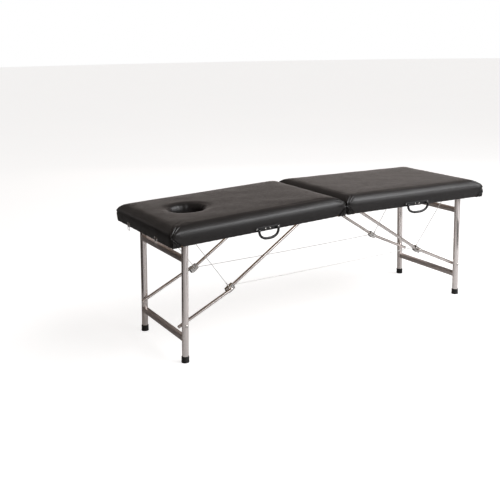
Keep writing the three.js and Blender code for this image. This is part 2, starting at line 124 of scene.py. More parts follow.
# ------------------------------------------------------------------ shaders
class Tree:
    """Small helper around a material's nodes."""

    def __init__(self, name):
        self.mat = bpy.data.materials.new(name)
        self.mat.use_nodes = True
        self.t = self.mat.node_tree
        self.n = self.t.nodes
        self.b = self.n["Principled BSDF"]
        self.co = self.n.new("ShaderNodeTexCoord").outputs["Object"]

    def set(self, **values):
        for k, v in values.items():
            self.b.inputs[k.replace("_", " ")].default_value = v
        return self

    def link(self, a, b):
        self.t.links.new(a, b)

    def mapping(self, scale=(1, 1, 1), rotation=(0, 0, 0), source=None):
        x = self.n.new("ShaderNodeMapping")
        x.inputs["Scale"].default_value = scale
        x.inputs["Rotation"].default_value = rotation
        self.link(source or self.co, x.inputs["Vector"])
        return x.outputs["Vector"]

    def noise(self, scale, detail=2, rough=0.5, source=None, distortion=0.0):
        x = self.n.new("ShaderNodeTexNoise")
        x.inputs["Scale"].default_value = scale
        x.inputs["Detail"].default_value = detail
        x.inputs["Roughness"].default_value = rough
        x.inputs["Distortion"].default_value = distortion
        self.link(source or self.co, x.inputs["Vector"])
        return x.outputs["Fac"]

    def voronoi(self, scale, feature="F1", source=None, randomness=1.0):
        x = self.n.new("ShaderNodeTexVoronoi")
        x.feature = feature
        x.inputs["Scale"].default_value = scale
        x.inputs["Randomness"].default_value = randomness
        self.link(source or self.co, x.inputs["Vector"])
        return x.outputs["Distance"]

    def wave(self, scale, distortion=0.0, source=None, direction="X", detail=2, detail_scale=1.0):
        x = self.n.new("ShaderNodeTexWave")
        x.bands_direction = direction
        x.inputs["Scale"].default_value = scale
        x.inputs["Distortion"].default_value = distortion
        x.inputs["Detail"].default_value = detail
        x.inputs["Detail Scale"].default_value = detail_scale
        self.link(source or self.co, x.inputs["Vector"])
        return x.outputs["Fac"]

    def ramp(self, fac, stops, out="Color"):
        x = self.n.new("ShaderNodeValToRGB")
        e = x.color_ramp.elements
        while len(e) < len(stops):
            e.new(0.5)
        for i, (p, c) in enumerate(stops):
            e[i].position = p
            c = (c, c, c) if isinstance(c, (int, float)) else c
            e[i].color = (*c, 1)
        self.link(fac, x.inputs["Fac"])
        return x.outputs[out]

    def math(self, op, a, b=None):
        x = self.n.new("ShaderNodeMath")
        x.operation = op
        for i, v in enumerate((a, b)):
            if v is None:
                continue
            if isinstance(v, (int, float)):
                x.inputs[i].default_value = v
            else:
                self.link(v, x.inputs[i])
        return x.outputs[0]

    def mix(self, fac, a, b, blend="MIX"):
        x = self.n.new("ShaderNodeMix")
        x.data_type = "RGBA"
        x.blend_type = blend
        for key, v in ((0, fac), (6, a), (7, b)):
            if isinstance(v, (int, float)):
                x.inputs[key].default_value = v
            elif isinstance(v, tuple):
                x.inputs[key].default_value = (*v, 1)
            else:
                self.link(v, x.inputs[key])
        return x.outputs[2]

    def bump(self, height, distance, strength=1.0, normal=None):
        x = self.n.new("ShaderNodeBump")
        x.inputs["Distance"].default_value = distance
        x.inputs["Strength"].default_value = strength
        self.link(height, x.inputs["Height"])
        if normal is not None:
            self.link(normal, x.inputs["Normal"])
        return x.outputs["Normal"]

    def base(self, socket):
        self.link(socket, self.b.inputs["Base Color"])
        return self

    def rough(self, socket):
        self.link(socket, self.b.inputs["Roughness"])
        return self

    def normal(self, socket):
        self.link(socket, self.b.inputs["Normal"])
        return self


def vinyl(name, dark, light, rough=(0.40, 0.52), grain=1.0):
    t = Tree(name)
    cloud = t.noise(7, 3, 0.5)
    cells = t.voronoi(620, "DISTANCE_TO_EDGE")
    fine = t.noise(1500, 2, 0.6)
    pebble = t.voronoi(300, "SMOOTH_F1")
    body = t.ramp(cloud, [(0.3, dark), (0.7, light)])
    # the grain's crease lines are darker in the base colour: painted shade in the grooves that the bump sinks
    crease_shade = t.ramp(cells, [(0.0, 0.62), (0.12, 1.0)])
    t.base(t.mix(0.55, body, crease_shade, "MULTIPLY"))
    t.rough(t.ramp(t.noise(38, 3, 0.55), [(0.3, rough[0]), (0.72, rough[1])]))
    a = t.bump(t.ramp(cells, [(0.0, 0.0), (0.18, 1.0)]), 0.00012 * grain, 0.55)
    b = t.bump(pebble, 0.00018 * grain, 0.35, a)
    t.normal(t.bump(fine, 0.00004, 0.3, b))
    t.set(Specular_IOR_Level=0.40)
    return t.mat


def metal(name, base, shade, rough, streak=(1, 1, 60), bump=0.00002, metallic=1.0, spots=0.0):
    """Polished or brushed steel: streaks run along an axis, with faint cloudiness."""
    t = Tree(name)
    v = t.mapping(streak)
    s1, s2 = t.noise(6, 5, 0.65, v), t.noise(3.5, 3, 0.5)
    t.base(t.mix(t.ramp(s1, [(0.35, 0.0), (0.7, 1.0)]), base, shade))
    r0 = t.ramp(s2, [(0.3, rough[0]), (0.75, rough[1])])
    t.rough(r0)
    t.normal(t.bump(s1, bump, 0.4))
    t.set(Metallic=metallic)
    return t.mat


def plastic(name, base, rough=(0.35, 0.5), grain=420, depth=0.00008):
    t = Tree(name)
    c = t.noise(14, 3)
    t.base(t.ramp(c, [(0.3, tuple(0.8 * x for x in base)), (0.75, tuple(1.25 * x for x in base))]))
    t.rough(t.ramp(t.noise(60, 3), [(0.3, rough[0]), (0.7, rough[1])]))
    t.normal(t.bump(t.noise(grain, 3, 0.6), depth, 0.6))
    return t.mat


def wood(name, light, dark, along=(3, 60, 60), pore=0.00006):
    t = Tree(name)
    v = t.mapping(along)
    fig = t.noise(1.0, 6, 0.62, v, 0.8)
    fibre = t.noise(9, 5, 0.7, t.mapping(tuple(2.5 * a for a in along)))
    band = t.ramp(fig, [(0.30, light), (0.52, tuple((a + b) / 2 for a, b in zip(light, dark))), (0.68, dark)])
    t.base(t.mix(0.35, band, t.ramp(fibre, [(0.35, 0.72), (0.6, 1.0)]), "MULTIPLY"))
    t.rough(t.ramp(fibre, [(0.3, 0.72), (0.7, 0.5)]))
    t.normal(t.bump(fibre, pore, 0.5))
    return t.mat


VINYL = vinyl("pu_leather", (0.0105, 0.0092, 0.0090), (0.0125, 0.0110, 0.0107), (0.36, 0.42))
LEGS = metal("polished_tube", (0.92, 0.865, 0.845), (0.84, 0.785, 0.765), (0.09, 0.15), (60, 60, 3), metallic=0.78)
BRACES = metal("polished_brace", (0.88, 0.83, 0.81), (0.78, 0.73, 0.71), (0.10, 0.17), (40, 40, 40))
BARS = metal("satin_crossbar", (0.58, 0.52, 0.50), (0.44, 0.39, 0.375), (0.28, 0.40), (60, 3, 60), metallic=0.85)
FIT = metal("bright_fitting", (0.80, 0.79, 0.77), (0.62, 0.61, 0.60), (0.16, 0.30), (25, 25, 25))
RIVET = metal("rivet_steel", (0.82, 0.80, 0.77), (0.6, 0.58, 0.56), (0.12, 0.26), (40, 40, 40))
WIRE = metal("wire_rope", (0.86, 0.86, 0.85), (0.74, 0.74, 0.73), (0.35, 0.48), (60, 60, 60), metallic=0.25)
RUBBER = plastic("foot_rubber", (0.013, 0.013, 0.013), (0.55, 0.72), 500, 0.00012)
PLASTIC = plastic("handle_plastic", (0.010, 0.010, 0.011), (0.34, 0.48))
CAPS = plastic("end_plug", (0.02, 0.02, 0.021), (0.4, 0.55))
PLY = wood("birch_ply", (0.60, 0.44, 0.27), (0.44, 0.29, 0.16), (2.2, 26, 26))
RAIL = wood("rail_beech", (0.50, 0.33, 0.19), (0.36, 0.22, 0.12), (3, 55, 55))
RAIL_Y = wood("rail_beech_across", (0.50, 0.33, 0.19), (0.36, 0.22, 0.12), (55, 3, 55))


# ------------------------------------------------------------------ mesh helpers
def obj(name, mesh, mat, body=None, replaces=(), smooth=True):
    o = bpy.data.objects.new(name, mesh)
    scene.collection.objects.link(o)
    mesh.materials.clear()
    mesh.materials.append(mat)
    if smooth:
        mesh.polygons.foreach_set("use_smooth", [True] * len(mesh.polygons))
        mesh.set_sharp_from_angle(angle=math.radians(42))
    if body:
        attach(o, body)
    if replaces:
        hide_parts(*replaces)
    return o


def mesh_of(name, verts, faces):
    me = bpy.data.meshes.new(name)
    me.from_pydata([tuple(v) for v in verts], [], [tuple(f) for f in faces])
    me.validate()
    bm = bmesh.new()
    bm.from_mesh(me)
    bmesh.ops.recalc_face_normals(bm, faces=bm.faces)
    bm.to_mesh(me)
    bm.free()
    return me


def join(*meshes):
    bm = bmesh.new()
    for me in meshes:
        bm.from_mesh(me)
    out = bpy.data.meshes.new("joined")
    bm.to_mesh(out)
    bm.free()
    return out


def basis(d):
    d = d.normalized()
    a = Vector((0, 1, 0)) if abs(d.y) < 0.9 else Vector((1, 0, 0))
    x = a.cross(d).normalized()
    return x, d.cross(x)


def revolve(p, q, profile, seg=40):
    """A closed turned body on the line p-q. profile is (distance from p along p-q, radius), in metres."""
    d = (q - p).normalized()
    x, y = basis(d)
    verts, faces = [], []
    rings = []
    for t, rr in profile:
        c = p + d * t
        if rr < 1e-7:
            rings.append([len(verts)])
            verts.append(c)
        else:
            rings.append(list(range(len(verts), len(verts) + seg)))
            for k in range(seg):
                a = 2 * math.pi * k / seg
                verts.append(c + (x * math.cos(a) + y * math.sin(a)) * rr)
    for a, b in zip(rings, rings[1:]):
        for k in range(seg):
            k2 = (k + 1) % seg
            if len(a) == 1:
                faces.append((a[0], b[k], b[k2]))
            elif len(b) == 1:
                faces.append((a[k], b[0], a[k2]))
            else:
                faces.append((a[k], b[k], b[k2], a[k2]))
    if len(rings[0]) > 1:
        faces.append(tuple(reversed(rings[0])))
    if len(rings[-1]) > 1:
        faces.append(tuple(rings[-1]))
    return mesh_of("turned", verts, faces)


def sweep(points, section, closed=False, up=Vector((0, 1, 0)), caps=True):
    """A section, a list of (a, b) in metres, swept along points: a runs along side, b along up."""
    verts, faces = [], []
    n_, k_ = len(points), len(section)
    for i, p in enumerate(points):
        a = points[(i - 1) % n_] if (closed or i) else points[0]
        b = points[(i + 1) % n_] if (closed or i < n_ - 1) else points[-1]
        t = (b - a).normalized()
        side = up.cross(t).normalized()
        top = t.cross(side).normalized()
        for sa, sb in section:
            verts.append(p + side * sa + top * sb)
    for i in range(n_ if closed else n_ - 1):
        j = (i + 1) % n_
        for k in range(k_):
            k2 = (k + 1) % k_
            faces.append((i * k_ + k, i * k_ + k2, j * k_ + k2, j * k_ + k))
    if not closed and caps:
        faces.append(tuple(range(k_)))
        faces.append(tuple((n_ - 1) * k_ + k for k in reversed(range(k_))))
    return mesh_of("swept", verts, faces)


def round_rect(w, h, rr, steps=5):
    out = []
    for cx, cy, a0 in ((w / 2 - rr, h / 2 - rr, 0), (-w / 2 + rr, h / 2 - rr, 90), (-w / 2 + rr, -h / 2 + rr, 180), (w / 2 - rr, -h / 2 + rr, 270)):
        for i in range(steps + 1):
            a = math.radians(a0 + 90 * i / steps)
            out.append((cx + rr * math.cos(a), cy + rr * math.sin(a)))
    return out


def bevelled_box(matrix, lo, hi, width=0.8, segments=3):
    """A box with rounded edges, from lo to hi in the units of matrix."""
    bm = bmesh.new()
    bmesh.ops.create_cube(bm, size=1)
    lo, hi = Vector(lo), Vector(hi)
    for v in bm.verts:
        v.co = Vector((lo[i] + (v.co[i] + 0.5) * (hi[i] - lo[i]) for i in range(3)))
    bmesh.ops.bevel(bm, geom=bm.edges[:], offset=width, segments=segments, profile=0.5, affect="EDGES")
    bmesh.ops.transform(bm, matrix=matrix, verts=bm.verts)
    bmesh.ops.recalc_face_normals(bm, faces=bm.faces)
    me = bpy.data.meshes.new("box")
    bm.to_mesh(me)
    bm.free()
    return me


def plate(matrix, outline, t0, t1, width=0.4, holes=()):
    """outline (a, b) in the matrix's x-z plane, from y=t0 to y=t1, with rounded edges. holes is not used."""
    bm = bmesh.new()
    vs = [bm.verts.new((a, t0, b)) for a, b in outline]
    f = bm.faces.new(vs)
    ext = bmesh.ops.extrude_face_region(bm, geom=[f])
    for v in ext["geom"]:
        if isinstance(v, bmesh.types.BMVert):
            v.co.y = t1
    bmesh.ops.recalc_face_normals(bm, faces=bm.faces)
    edges = [e for e in bm.edges if abs(e.verts[0].co.y - e.verts[1].co.y) < 1e-6]
    bmesh.ops.bevel(bm, geom=edges, offset=width, segments=2, profile=0.5, affect="EDGES")
    bmesh.ops.transform(bm, matrix=matrix, verts=bm.verts)
    bmesh.ops.recalc_face_normals(bm, faces=bm.faces)
    me = bpy.data.meshes.new("plate")
    bm.to_mesh(me)
    bm.free()
    return me


def rivet(at, axis, radius, height, seg=28, name="rivet"):
    """A domed rivet head on a face: at is on the face and axis points out of it."""
    prof = [(-0.0008, 0.0), (-0.0008, radius * 0.96), (0.0, radius)]
    for i in range(1, 7):
        a = i / 6 * math.pi / 2
        prof.append((height * math.sin(a), radius * math.cos(a) if i < 6 else 0.0))
    return revolve(at, at + axis.normalized(), prof, seg)


def screw(at, axis, radius, height, turn=0.0):
    """A countersunk cross-head screw, with the recess modelled."""
    axis = axis.normalized()
    x, y = basis(axis)
    x, y = x * math.cos(turn) + y * math.sin(turn), -x * math.sin(turn) + y * math.cos(turn)
    seg = 32
    verts, faces = [at + axis * (height * 0.35)], []
    ring = []
    for f, z in ((0.16, 0.35), (0.2, 0.95), (0.62, 1.0), (0.9, 0.72), (1.0, 0.1), (1.0, -0.5)):
        row = []
        for k in range(seg):
            a = 2 * math.pi * k / seg
            arm = max(abs(math.cos(a)), abs(math.sin(a)))
            rr = f
            if f < 0.3:  # the cross
                rr = f * 0.8 + 0.42 * max(0.0, (arm - 0.90) / 0.10)
            row.append(len(verts))
            verts.append(at + (x * math.cos(a) + y * math.sin(a)) * radius * rr + axis * height * z)
        ring.append(row)
    for k in range(seg):
        faces.append((0, ring[0][k], ring[0][(k + 1) % seg]))
    for a, b in zip(ring, ring[1:]):
        for k in range(seg):
            faces.append((a[k], b[k], b[(k + 1) % seg], a[(k + 1) % seg]))
    faces.append(tuple(reversed(ring[-1])))
    return mesh_of("screw", verts, faces)


# ------------------------------------------------------------------ design sizes, in mm
HALF, HY, PT = 900.2, 304.0, 85.0            # a half's length, half width and thickness
GAP0 = 2.2                                   # from the hinge axis to a half's centre face
BEV_W, BEV_H = 42.0, 31.0
HOLE_X, HOLE_R = 675.0, 75.3
PX, PZ, SPLAY = 800.0, 19.5, math.radians(3.64)
LEG_Y, LEG_R = 223.6, 15.0
B = (65.0, 43.0)
LEG_TO_D = 402.07
D = (PX + LEG_TO_D * math.sin(SPLAY), PZ - LEG_TO_D * math.cos(SPLAY))
UP_Y, LOW_Y, BR = 182.0, 200.0, 7.5


def meet(p, rp, q, rq):
    dx, dz = q[0] - p[0], q[1] - p[1]
    d = math.hypot(dx, dz)
    a = (rp * rp - rq * rq + d * d) / (2 * d)
    h = math.sqrt(rp * rp - a * a)
    mx, mz = p[0] + a * dx / d, p[1] + a * dz / d
    return min(((mx + h * dz / d, mz - h * dx / d), (mx - h * dz / d, mz + h * dx / d)), key=lambda k: k[1])


KF = (667.85, 31.0)
UPPER_L = math.hypot(KF[0] - B[0], KF[1] - B[1])
LOWER_L = math.hypot(KF[0] - (PX - LEG_TO_D), KF[1] - PZ)
K = meet(B, UPPER_L, D, LOWER_L)


def along(p, q, d):
    """past q, going from p"""
    n_ = math.hypot(q[0] - p[0], q[1] - p[1])
    return (q[0] + (q[0] - p[0]) * d / n_, q[1] + (q[1] - p[1]) * d / n_)


def leg_matrix(s):
    """w outward from the leg's axis, y, and z up the leg from its pivot, in mm"""
    def at(w, y, z):
        return L(s, PX - z * math.sin(SPLAY) + w * math.cos(SPLAY), y, PZ + z * math.cos(SPLAY) + w * math.sin(SPLAY))
    o = at(0, 0, 0)
    m = Matrix.Identity(4)
    for i, e in enumerate((at(1, 0, 0) - o, at(0, 1, 0) - o, at(0, 0, 1) - o)):
        m.col[i][:3] = e
    m.col[3][:3] = o
    return m


def line_matrix(s, p, q):
    """at q, with x along p to q, y across the table, z square to both, all in mm of a half"""
    ux, uz = (q[0] - p[0]), (q[1] - p[1])
    d = math.hypot(ux, uz)
    ux, uz = ux / d, uz / d
    def at(a, y, c):
        return L(s, q[0] + a * ux - c * uz, y, q[1] + a * uz + c * ux)
    o = at(0, 0, 0)
    m = Matrix.Identity(4)
    for i, e in enumerate((at(1, 0, 0) - o, at(0, 1, 0) - o, at(0, 0, 1) - o)):
        m.col[i][:3] = e
    m.col[3][:3] = o
    return m


def pipe(p, q, ro, ri, chamfer=0.0006, seg=40):
    """an open tube with rounded lips"""
    d = (q - p).normalized()
    x, y = basis(d)
    ln = (q - p).length
    prof = [(0, ri + chamfer * 0.5), (0, ro - chamfer), (chamfer, ro), (ln - chamfer, ro), (ln, ro - chamfer), (ln, ri + chamfer * 0.5), (ln - chamfer, ri), (chamfer, ri)]
    verts, faces = [], []
    for t, rr in prof:
        for k in range(seg):
            a = 2 * math.pi * k / seg
            verts.append(p + d * t + (x * math.cos(a) + y * math.sin(a)) * rr)
    np_ = len(prof)
    for i in range(np_):
        j = (i + 1) % np_
        for k in range(seg):
            k2 = (k + 1) % seg
            faces.append((i * seg + k, j * seg + k, j * seg + k2, i * seg + k2))
    return mesh_of("pipe", verts, faces)


# ------------------------------------------------------------------ upholstery
P_ROLL = 1.42


def ring(inset, z, r, steps=8):
    x0, x1, hy = GAP0 + inset, HALF - inset, HY - inset
    out = []
    for cx, cy, a0 in ((x1 - r, hy - r, 0), (x0 + r, hy - r, 90), (x0 + r, -hy + r, 180), (x1 - r, -hy + r, 270)):
        for i in range(steps + 1):
            a = math.radians(a0 + 90 * i / steps)
            out.append((cx + r * math.cos(a), cy + r * math.sin(a), z))
    return out


def block(inset, low, top, foot_r=3.0, corner=13.0):
    """A half's closed outer form in mm, from low to top, with the rolled upper edge."""
    rows = []
    for i in range(4):
        a = i / 3 * math.pi / 2
        rows.append((inset + foot_r * (1 - math.sin(a)), low + foot_r * (1 - math.cos(a))))
    z0 = PT - BEV_H
    scale = (top - z0) / BEV_H
    if low < z0 - 16:
        rows.append((inset, z0 - 10))
    first = 0 if low < z0 - 16 else 5
    for i in range(first, 13):
        v = i / 12
        v = 1 - (1 - v) ** 1.25
        d = BEV_W * (1 - (1 - v ** P_ROLL) ** (1 / P_ROLL)) if v < 1 else BEV_W
        rows.append((inset + d * (BEV_W - 0) / BEV_W, z0 + v * BEV_H * scale))
    bm = bmesh.new()
    loops = []
    for d, z in rows:
        rr = corner + 0.28 * (d - inset)
        loops.append([bm.verts.new(p) for p in ring(d, z, rr)])
    for a, b in zip(loops, loops[1:]):
        for k in range(len(a)):
            k2 = (k + 1) % len(a)
            bm.faces.new((a[k], a[k2], b[k2], b[k]))
    bm.faces.new(list(reversed(loops[0])))
    bm.faces.new(loops[-1])
    bmesh.ops.recalc_face_normals(bm, faces=bm.faces)
    me = bpy.data.meshes.new("block")
    bm.to_mesh(me)
    bm.free()
    return me


def hole_tool(extra, rim=True, top=PT):
    """the face hole, as a solid to cut with: a lined shaft with a soft flared rim"""
    rr = HOLE_R + extra
    prof = [(-40, rr), (top - 34, rr)]
    if rim:
        for i in range(1, 11):
            v = i / 10
            prof.append((top - 34 + 34 * math.sin(v * math.pi / 2), rr + 27 * (1 - math.cos(v * math.pi / 2)) ** 1.05))
        prof.append((top + 6, rr + 33))
    prof.append((top + 30, prof[-1][1]))
    prof = [(prof[0][0], 0.0)] + prof + [(prof[-1][0], 0.0)]
    return revolve(Vector((HOLE_X, 0, 0)), Vector((HOLE_X, 0, 1)), prof, 96)


def with_modifiers(me, *settings):
    """The mesh after the modifiers, as plain data."""
    o = bpy.data.objects.new("work", me)
    scene.collection.objects.link(o)
    for kind, values in settings:
        md = o.modifiers.new(kind, kind)
        for k, v in values.items():
            setattr(md, k, v)
    bpy.context.view_layer.update()
    dg = bpy.context.evaluated_depsgraph_get()
    out = bpy.data.meshes.new_from_object(o.evaluated_get(dg))
    bpy.data.objects.remove(o)
    return out


def cut(me, tool):
    t = bpy.data.objects.new("tool", tool)
    scene.collection.objects.link(t)
    out = with_modifiers(me, ("BOOLEAN", {"operation": "DIFFERENCE", "object": t, "solver": "EXACT"}))
    bpy.data.objects.remove(t)
    return out


def coords(me):
    co = np.empty(len(me.vertices) * 3)
    me.vertices.foreach_get("co", co)
    return co.reshape(-1, 3)


def set_coords(me, co):
    me.vertices.foreach_set("co", np.asarray(co, dtype=np.float64).ravel())
    me.update()


def swell(me, pin, cap):
    """Cloth with pressure, held where pin is 1; every point's move is limited to cap. In metres."""
    o = bpy.data.objects.new("cloth", me)
    scene.collection.objects.link(o)
    g = o.vertex_groups.new(name="pin")
    for w in np.unique(np.round(pin, 2)):
        if w > 0:
            g.add(np.nonzero(np.abs(np.round(pin, 2) - w) < 1e-9)[0].tolist(), float(w), "REPLACE")
    md = o.modifiers.new("cloth", "CLOTH")
    st = md.settings
    st.quality = 4
    st.mass = 0.4
    st.tension_stiffness = 25
    st.compression_stiffness = 25
    st.shear_stiffness = 12
    st.bending_stiffness = 2.0
    st.use_pressure = True
    st.uniform_pressure_force = 4.0
    st.vertex_group_mass = "pin"
    st.effector_weights.gravity = 0.0
    md.collision_settings.use_collision = False
    md.collision_settings.use_self_collision = False
    md.point_cache.frame_start = 1
    md.point_cache.frame_end = 20
    for f in range(1, 21):
        scene.frame_set(f)
    dg = bpy.context.evaluated_depsgraph_get()
    ev = o.evaluated_get(dg).to_mesh()
    new = coords(ev)
    old = coords(me)
    o.evaluated_get(dg).to_mesh_clear()
    bpy.data.objects.remove(o)
    scene.frame_set(1)
    mv = new - old
    mv[~np.isfinite(mv).all(axis=1)] = 0
    nrm = np.empty(len(me.vertices) * 3)
    me.vertices.foreach_get("normal", nrm)
    nrm = nrm.reshape(-1, 3)
    out = (mv * nrm).sum(axis=1)
    lift = np.where(out > 0, cap * np.tanh(out / cap), 0.0006 * np.tanh(out / 0.0006))
    # the swelling grows from the edge inwards, so that the top crowns with no ridge round it
    inset = np.minimum(np.minimum(old[:, 0] * 1000 - GAP0, HALF - old[:, 0] * 1000), HY - np.abs(old[:, 1]) * 1000)
    lift *= 0.25 + 0.75 * smoothstep(12, 120, inset)
    set_coords(me, old + nrm * lift[:, None])


def smoothstep(a, b, x):
    t = np.clip((x - a) / (b - a), 0, 1)
    return t * t * (3 - 2 * t)


def corner_pleats(co, nrm, s, seed):
    """Gift-wrap corners: the cover is gathered at each corner post, folded into a flap on the
    long side, with a short crease running up over the roll. co in mm, in a half's own frame."""
    out = co.copy()
    rng = np.random.default_rng(seed)
    for cx, dx in ((GAP0, 1), (HALF, -1)):
        for sy in (-1, 1):
            along_x = (co[:, 0] - cx) * dx                # from the corner along the long side
            in_y = HY - co[:, 1] * sy                     # from the long face inward
            z = co[:, 2]
            j = rng.uniform(-1, 1, 6)
            side = smoothstep(16, 2, in_y) * (np.abs(nrm[:, 1]) > 0.3)
            # folded flap: from the gather point down to the bottom edge, on the long side
            zg, xf = 43 + 2 * j[0], 48 + 4 * j[1]         # gather height, flap width at the bottom
            edge = xf * np.clip((zg - z) / (zg + 2), 0, 1.2)
            below = smoothstep(zg + 3, zg - 6, z)
            flap = below * side * smoothstep(edge + 1.2, edge - 1.2, along_x) * smoothstep(-6, 3, along_x)
            out += nrm * (2.8 * flap)[:, None]

            def line(dist, lip, groove, width, mask):
                """a folded edge: a lip that catches light and the groove beside it"""
                up_side = np.exp(-((dist + width) / (0.8 * width)) ** 2)
                dn_side = np.exp(-((dist - width) / (0.9 * width)) ** 2)
                return nrm * ((lip * up_side - groove * dn_side) * mask)[:, None]

            out += line(along_x - edge, 2.6, 2.6, 2.6, below * side)
            e2 = edge * 0.50
            out += line(along_x - e2, 1.6, 2.0, 2.2, smoothstep(zg - 1, zg - 10, z) * side)
            out += line(-(along_x - 5.5), 2.4, 2.4, 2.4, smoothstep(zg + 2, zg - 4, z) * smoothstep(18, 3, in_y) * (along_x > -8) * (along_x < 22))
            # the gather: a dimple, and puffy fullness beside it
            rr = np.hypot(along_x - 8, z - zg)
            out -= nrm * (3.0 * np.exp(-(rr / 6.0) ** 2) * side)[:, None]
            full = np.exp(-(((along_x - 27) / 15) ** 2 + ((z - zg - 11) / 11) ** 2)) * side
            out += nrm * (3.6 * full)[:, None]
            # creases that run from the gather up over the roll
            d_m = (along_x - in_y) / math.sqrt(2)         # distance from the mitre line
            up_ = smoothstep(zg - 2, zg + 8, z) * smoothstep(84.8, 74, z) * (along_x < 75) * (in_y < 75)
            for off, wd, dp in ((5 + 2 * j[2], 2.6, 2.4), (-10 + 2 * j[3], 2.6, 1.0), (18 + 3 * j[4], 3.2, 1.0)):
                spread = off * smoothstep(zg, 84, z) + 1.2 * np.sin(z * 0.21 + off)
                out += line(d_m - spread, 0.8 * dp, dp, wd, up_)
            # tension wrinkles that radiate from the gather point along the side
            ang = np.arctan2(z - zg, np.maximum(along_x, 1))
            wr = np.sin(ang * 15 + 2 * j[5]) * np.exp(-rr / 36) * smoothstep(8, 22, rr) * side
            out += nrm * (0.5 * wr)[:, None]
    return out


def upholstery(s, h):
    voxel = 0.005
    me = block(0, -1.7, PT - 2.2)
    if s < 0:
        me = cut(me, hole_tool(0, True, PT - 2.2))
    me.transform(Matrix.Scale(0.001, 4))
    me = with_modifiers(me, ("REMESH", {"mode": "VOXEL", "voxel_size": voxel, "adaptivity": 0.0, "use_smooth_shade": True}))
    # a light smoothing evens the voxel steps on the roll
    co = coords(me)
    z, x, y = co[:, 2] * 1000, co[:, 0] * 1000, co[:, 1] * 1000
    bm = bmesh.new()
    bm.from_mesh(me)
    bm.verts.ensure_lookup_table()
    roll = [v for v in bm.verts if 46 < v.co.z * 1000 < 86]
    for _ in range(3):
        bmesh.ops.smooth_vert(bm, verts=roll, factor=0.5, use_axis_x=True, use_axis_y=True, use_axis_z=True)
    # open the underside: the cover is only turned under the rails
    gone = []
    for f in bm.faces:
        c = f.calc_center_median() * 1000
        inset = min(c.x - GAP0, HALF - c.x, HY - abs(c.y))
        if f.normal.z < -0.7 and c.z < 0:
            if inset > 27 or (c.x < 30 and c.x - GAP0 > 3 and HY - abs(c.y) > 3):
                gone.append(f)
        elif s < 0 and math.hypot(c.x - HOLE_X, c.y) < HOLE_R + 14 and (c.z < 12 or (c.z < 48 and c.x > HOLE_X + 45)):
            gone.append(f)                                # the lining hangs below the deck, cut short where the crossbar folds in
    bmesh.ops.delete(bm, geom=gone, context="FACES")
    bm.to_mesh(me)
    bm.free()
    co = coords(me) * 1000
    pin = smoothstep(54, 46, co[:, 2])
    if s < 0:
        rr = np.hypot(co[:, 0] - HOLE_X, co[:, 1])
        pin = np.maximum(pin, smoothstep(96, 84, rr))
    swell(me, pin, 0.0030)
    me = with_modifiers(me, ("SUBSURF", {"levels": 1, "render_levels": 1, "subdivision_type": "CATMULL_CLARK"}))
    bm = bmesh.new()
    bm.from_mesh(me)
    near_corner = []
    for e in bm.edges:
        c = (e.verts[0].co + e.verts[1].co) * 500
        if min(c.x - GAP0, HALF - c.x) < 62 and HY - abs(c.y) < 62 and c.z > -1:
            near_corner.append(e)
    bmesh.ops.subdivide_edges(bm, edges=near_corner, cuts=1, use_grid_fill=True)
    bm.to_mesh(me)
    bm.free()
    co = coords(me) * 1000
    nrm = np.empty(len(me.vertices) * 3)
    me.vertices.foreach_get("normal", nrm)
    nrm = nrm.reshape(-1, 3)
    # the sides stand out a little between the hem and the roll
    co = co + nrm * (1.6 * np.exp(-((co[:, 2] - 34) / 20) ** 2) * (np.abs(nrm[:, 2]) < 0.75) * (np.hypot(co[:, 0] - HOLE_X, co[:, 1]) > 120))[:, None]
    # slow unevenness of hide over foam, and slight pulls where the hem is stapled
    top = smoothstep(50, 80, co[:, 2])
    wob = 0.35 * np.sin(co[:, 0] * 0.031 + 1.3 * np.sin(co[:, 1] * 0.019) + s) * np.sin(co[:, 1] * 0.027 + 0.7 * s)
    wob += 0.22 * np.sin(co[:, 0] * 0.011 - co[:, 1] * 0.043 + 2 * s)
    hem = 0.28 * np.sin(2 * math.pi * (co[:, 0] + 0.6 * co[:, 1]) / 38.0) * smoothstep(30, 2, co[:, 2]) * (co[:, 2] > -1.4)
    co = co + nrm * (wob * (0.35 + 0.65 * top) + hem)[:, None]
    if s < 0:  # the lining is drawn down into the hole: soft pleats round the rim
        dx, dy = co[:, 0] - HOLE_X, co[:, 1]
        rr, an = np.hypot(dx, dy), np.arctan2(dy, dx)
        k_ = smoothstep(103, 86, rr) * smoothstep(20, 66, co[:, 2])
        co = co + nrm * (k_ * (0.7 * np.sin(an * 11 + 0.6 * np.sin(3 * an)) + 0.35 * np.sin(an * 23 + 1)))[:, None]
    co = corner_pleats(co, nrm, s, 5 + s)
    co[:, 2] = np.maximum(co[:, 2], -1.85)         # the turned-under cover stays clear of the other half when closed
    set_coords(me, co / 1000)
    me = with_modifiers(me, ("SOLIDIFY", {"thickness": 0.0013, "offset": -1.0, "use_even_offset": False, "use_quality_normals": True}))
    me.transform(half_matrix(s) @ Matrix.Scale(1000, 4))
    if s < 0:
        me.flip_normals()
    o = obj(f"upholstery_{h}", me, VINYL, f"{h}_panel", [f"cover_{h}"])
    return o


FOAM = None


def foam_core(s, h):
    me = block(4.2, 58.8, PT - 7.0, 0.6, 12.0)
    if s < 0:
        me = cut(me, hole_tool(4.2, True, PT - 7.0))
    me.transform(Matrix.Scale(0.001, 4))
    me = with_modifiers(me, ("REMESH", {"mode": "VOXEL", "voxel_size": 0.009, "use_smooth_shade": True}))
    co = coords(me)
    pores = np.array([noise.noise(Vector(c) * 90.0) for c in co])
    nrm = np.empty(len(me.vertices) * 3)
    me.vertices.foreach_get("normal", nrm)
    co = co - nrm.reshape(-1, 3) * (0.0003 * (1 + pores))[:, None]
    set_coords(me, co)
    me.transform(half_matrix(s) @ Matrix.Scale(1000, 4))
    if s < 0:
        me.flip_normals()
    o = obj(f"foam_core_{h}", me, FOAM, f"{h}_panel", [f"foam_{h}"])
    return o


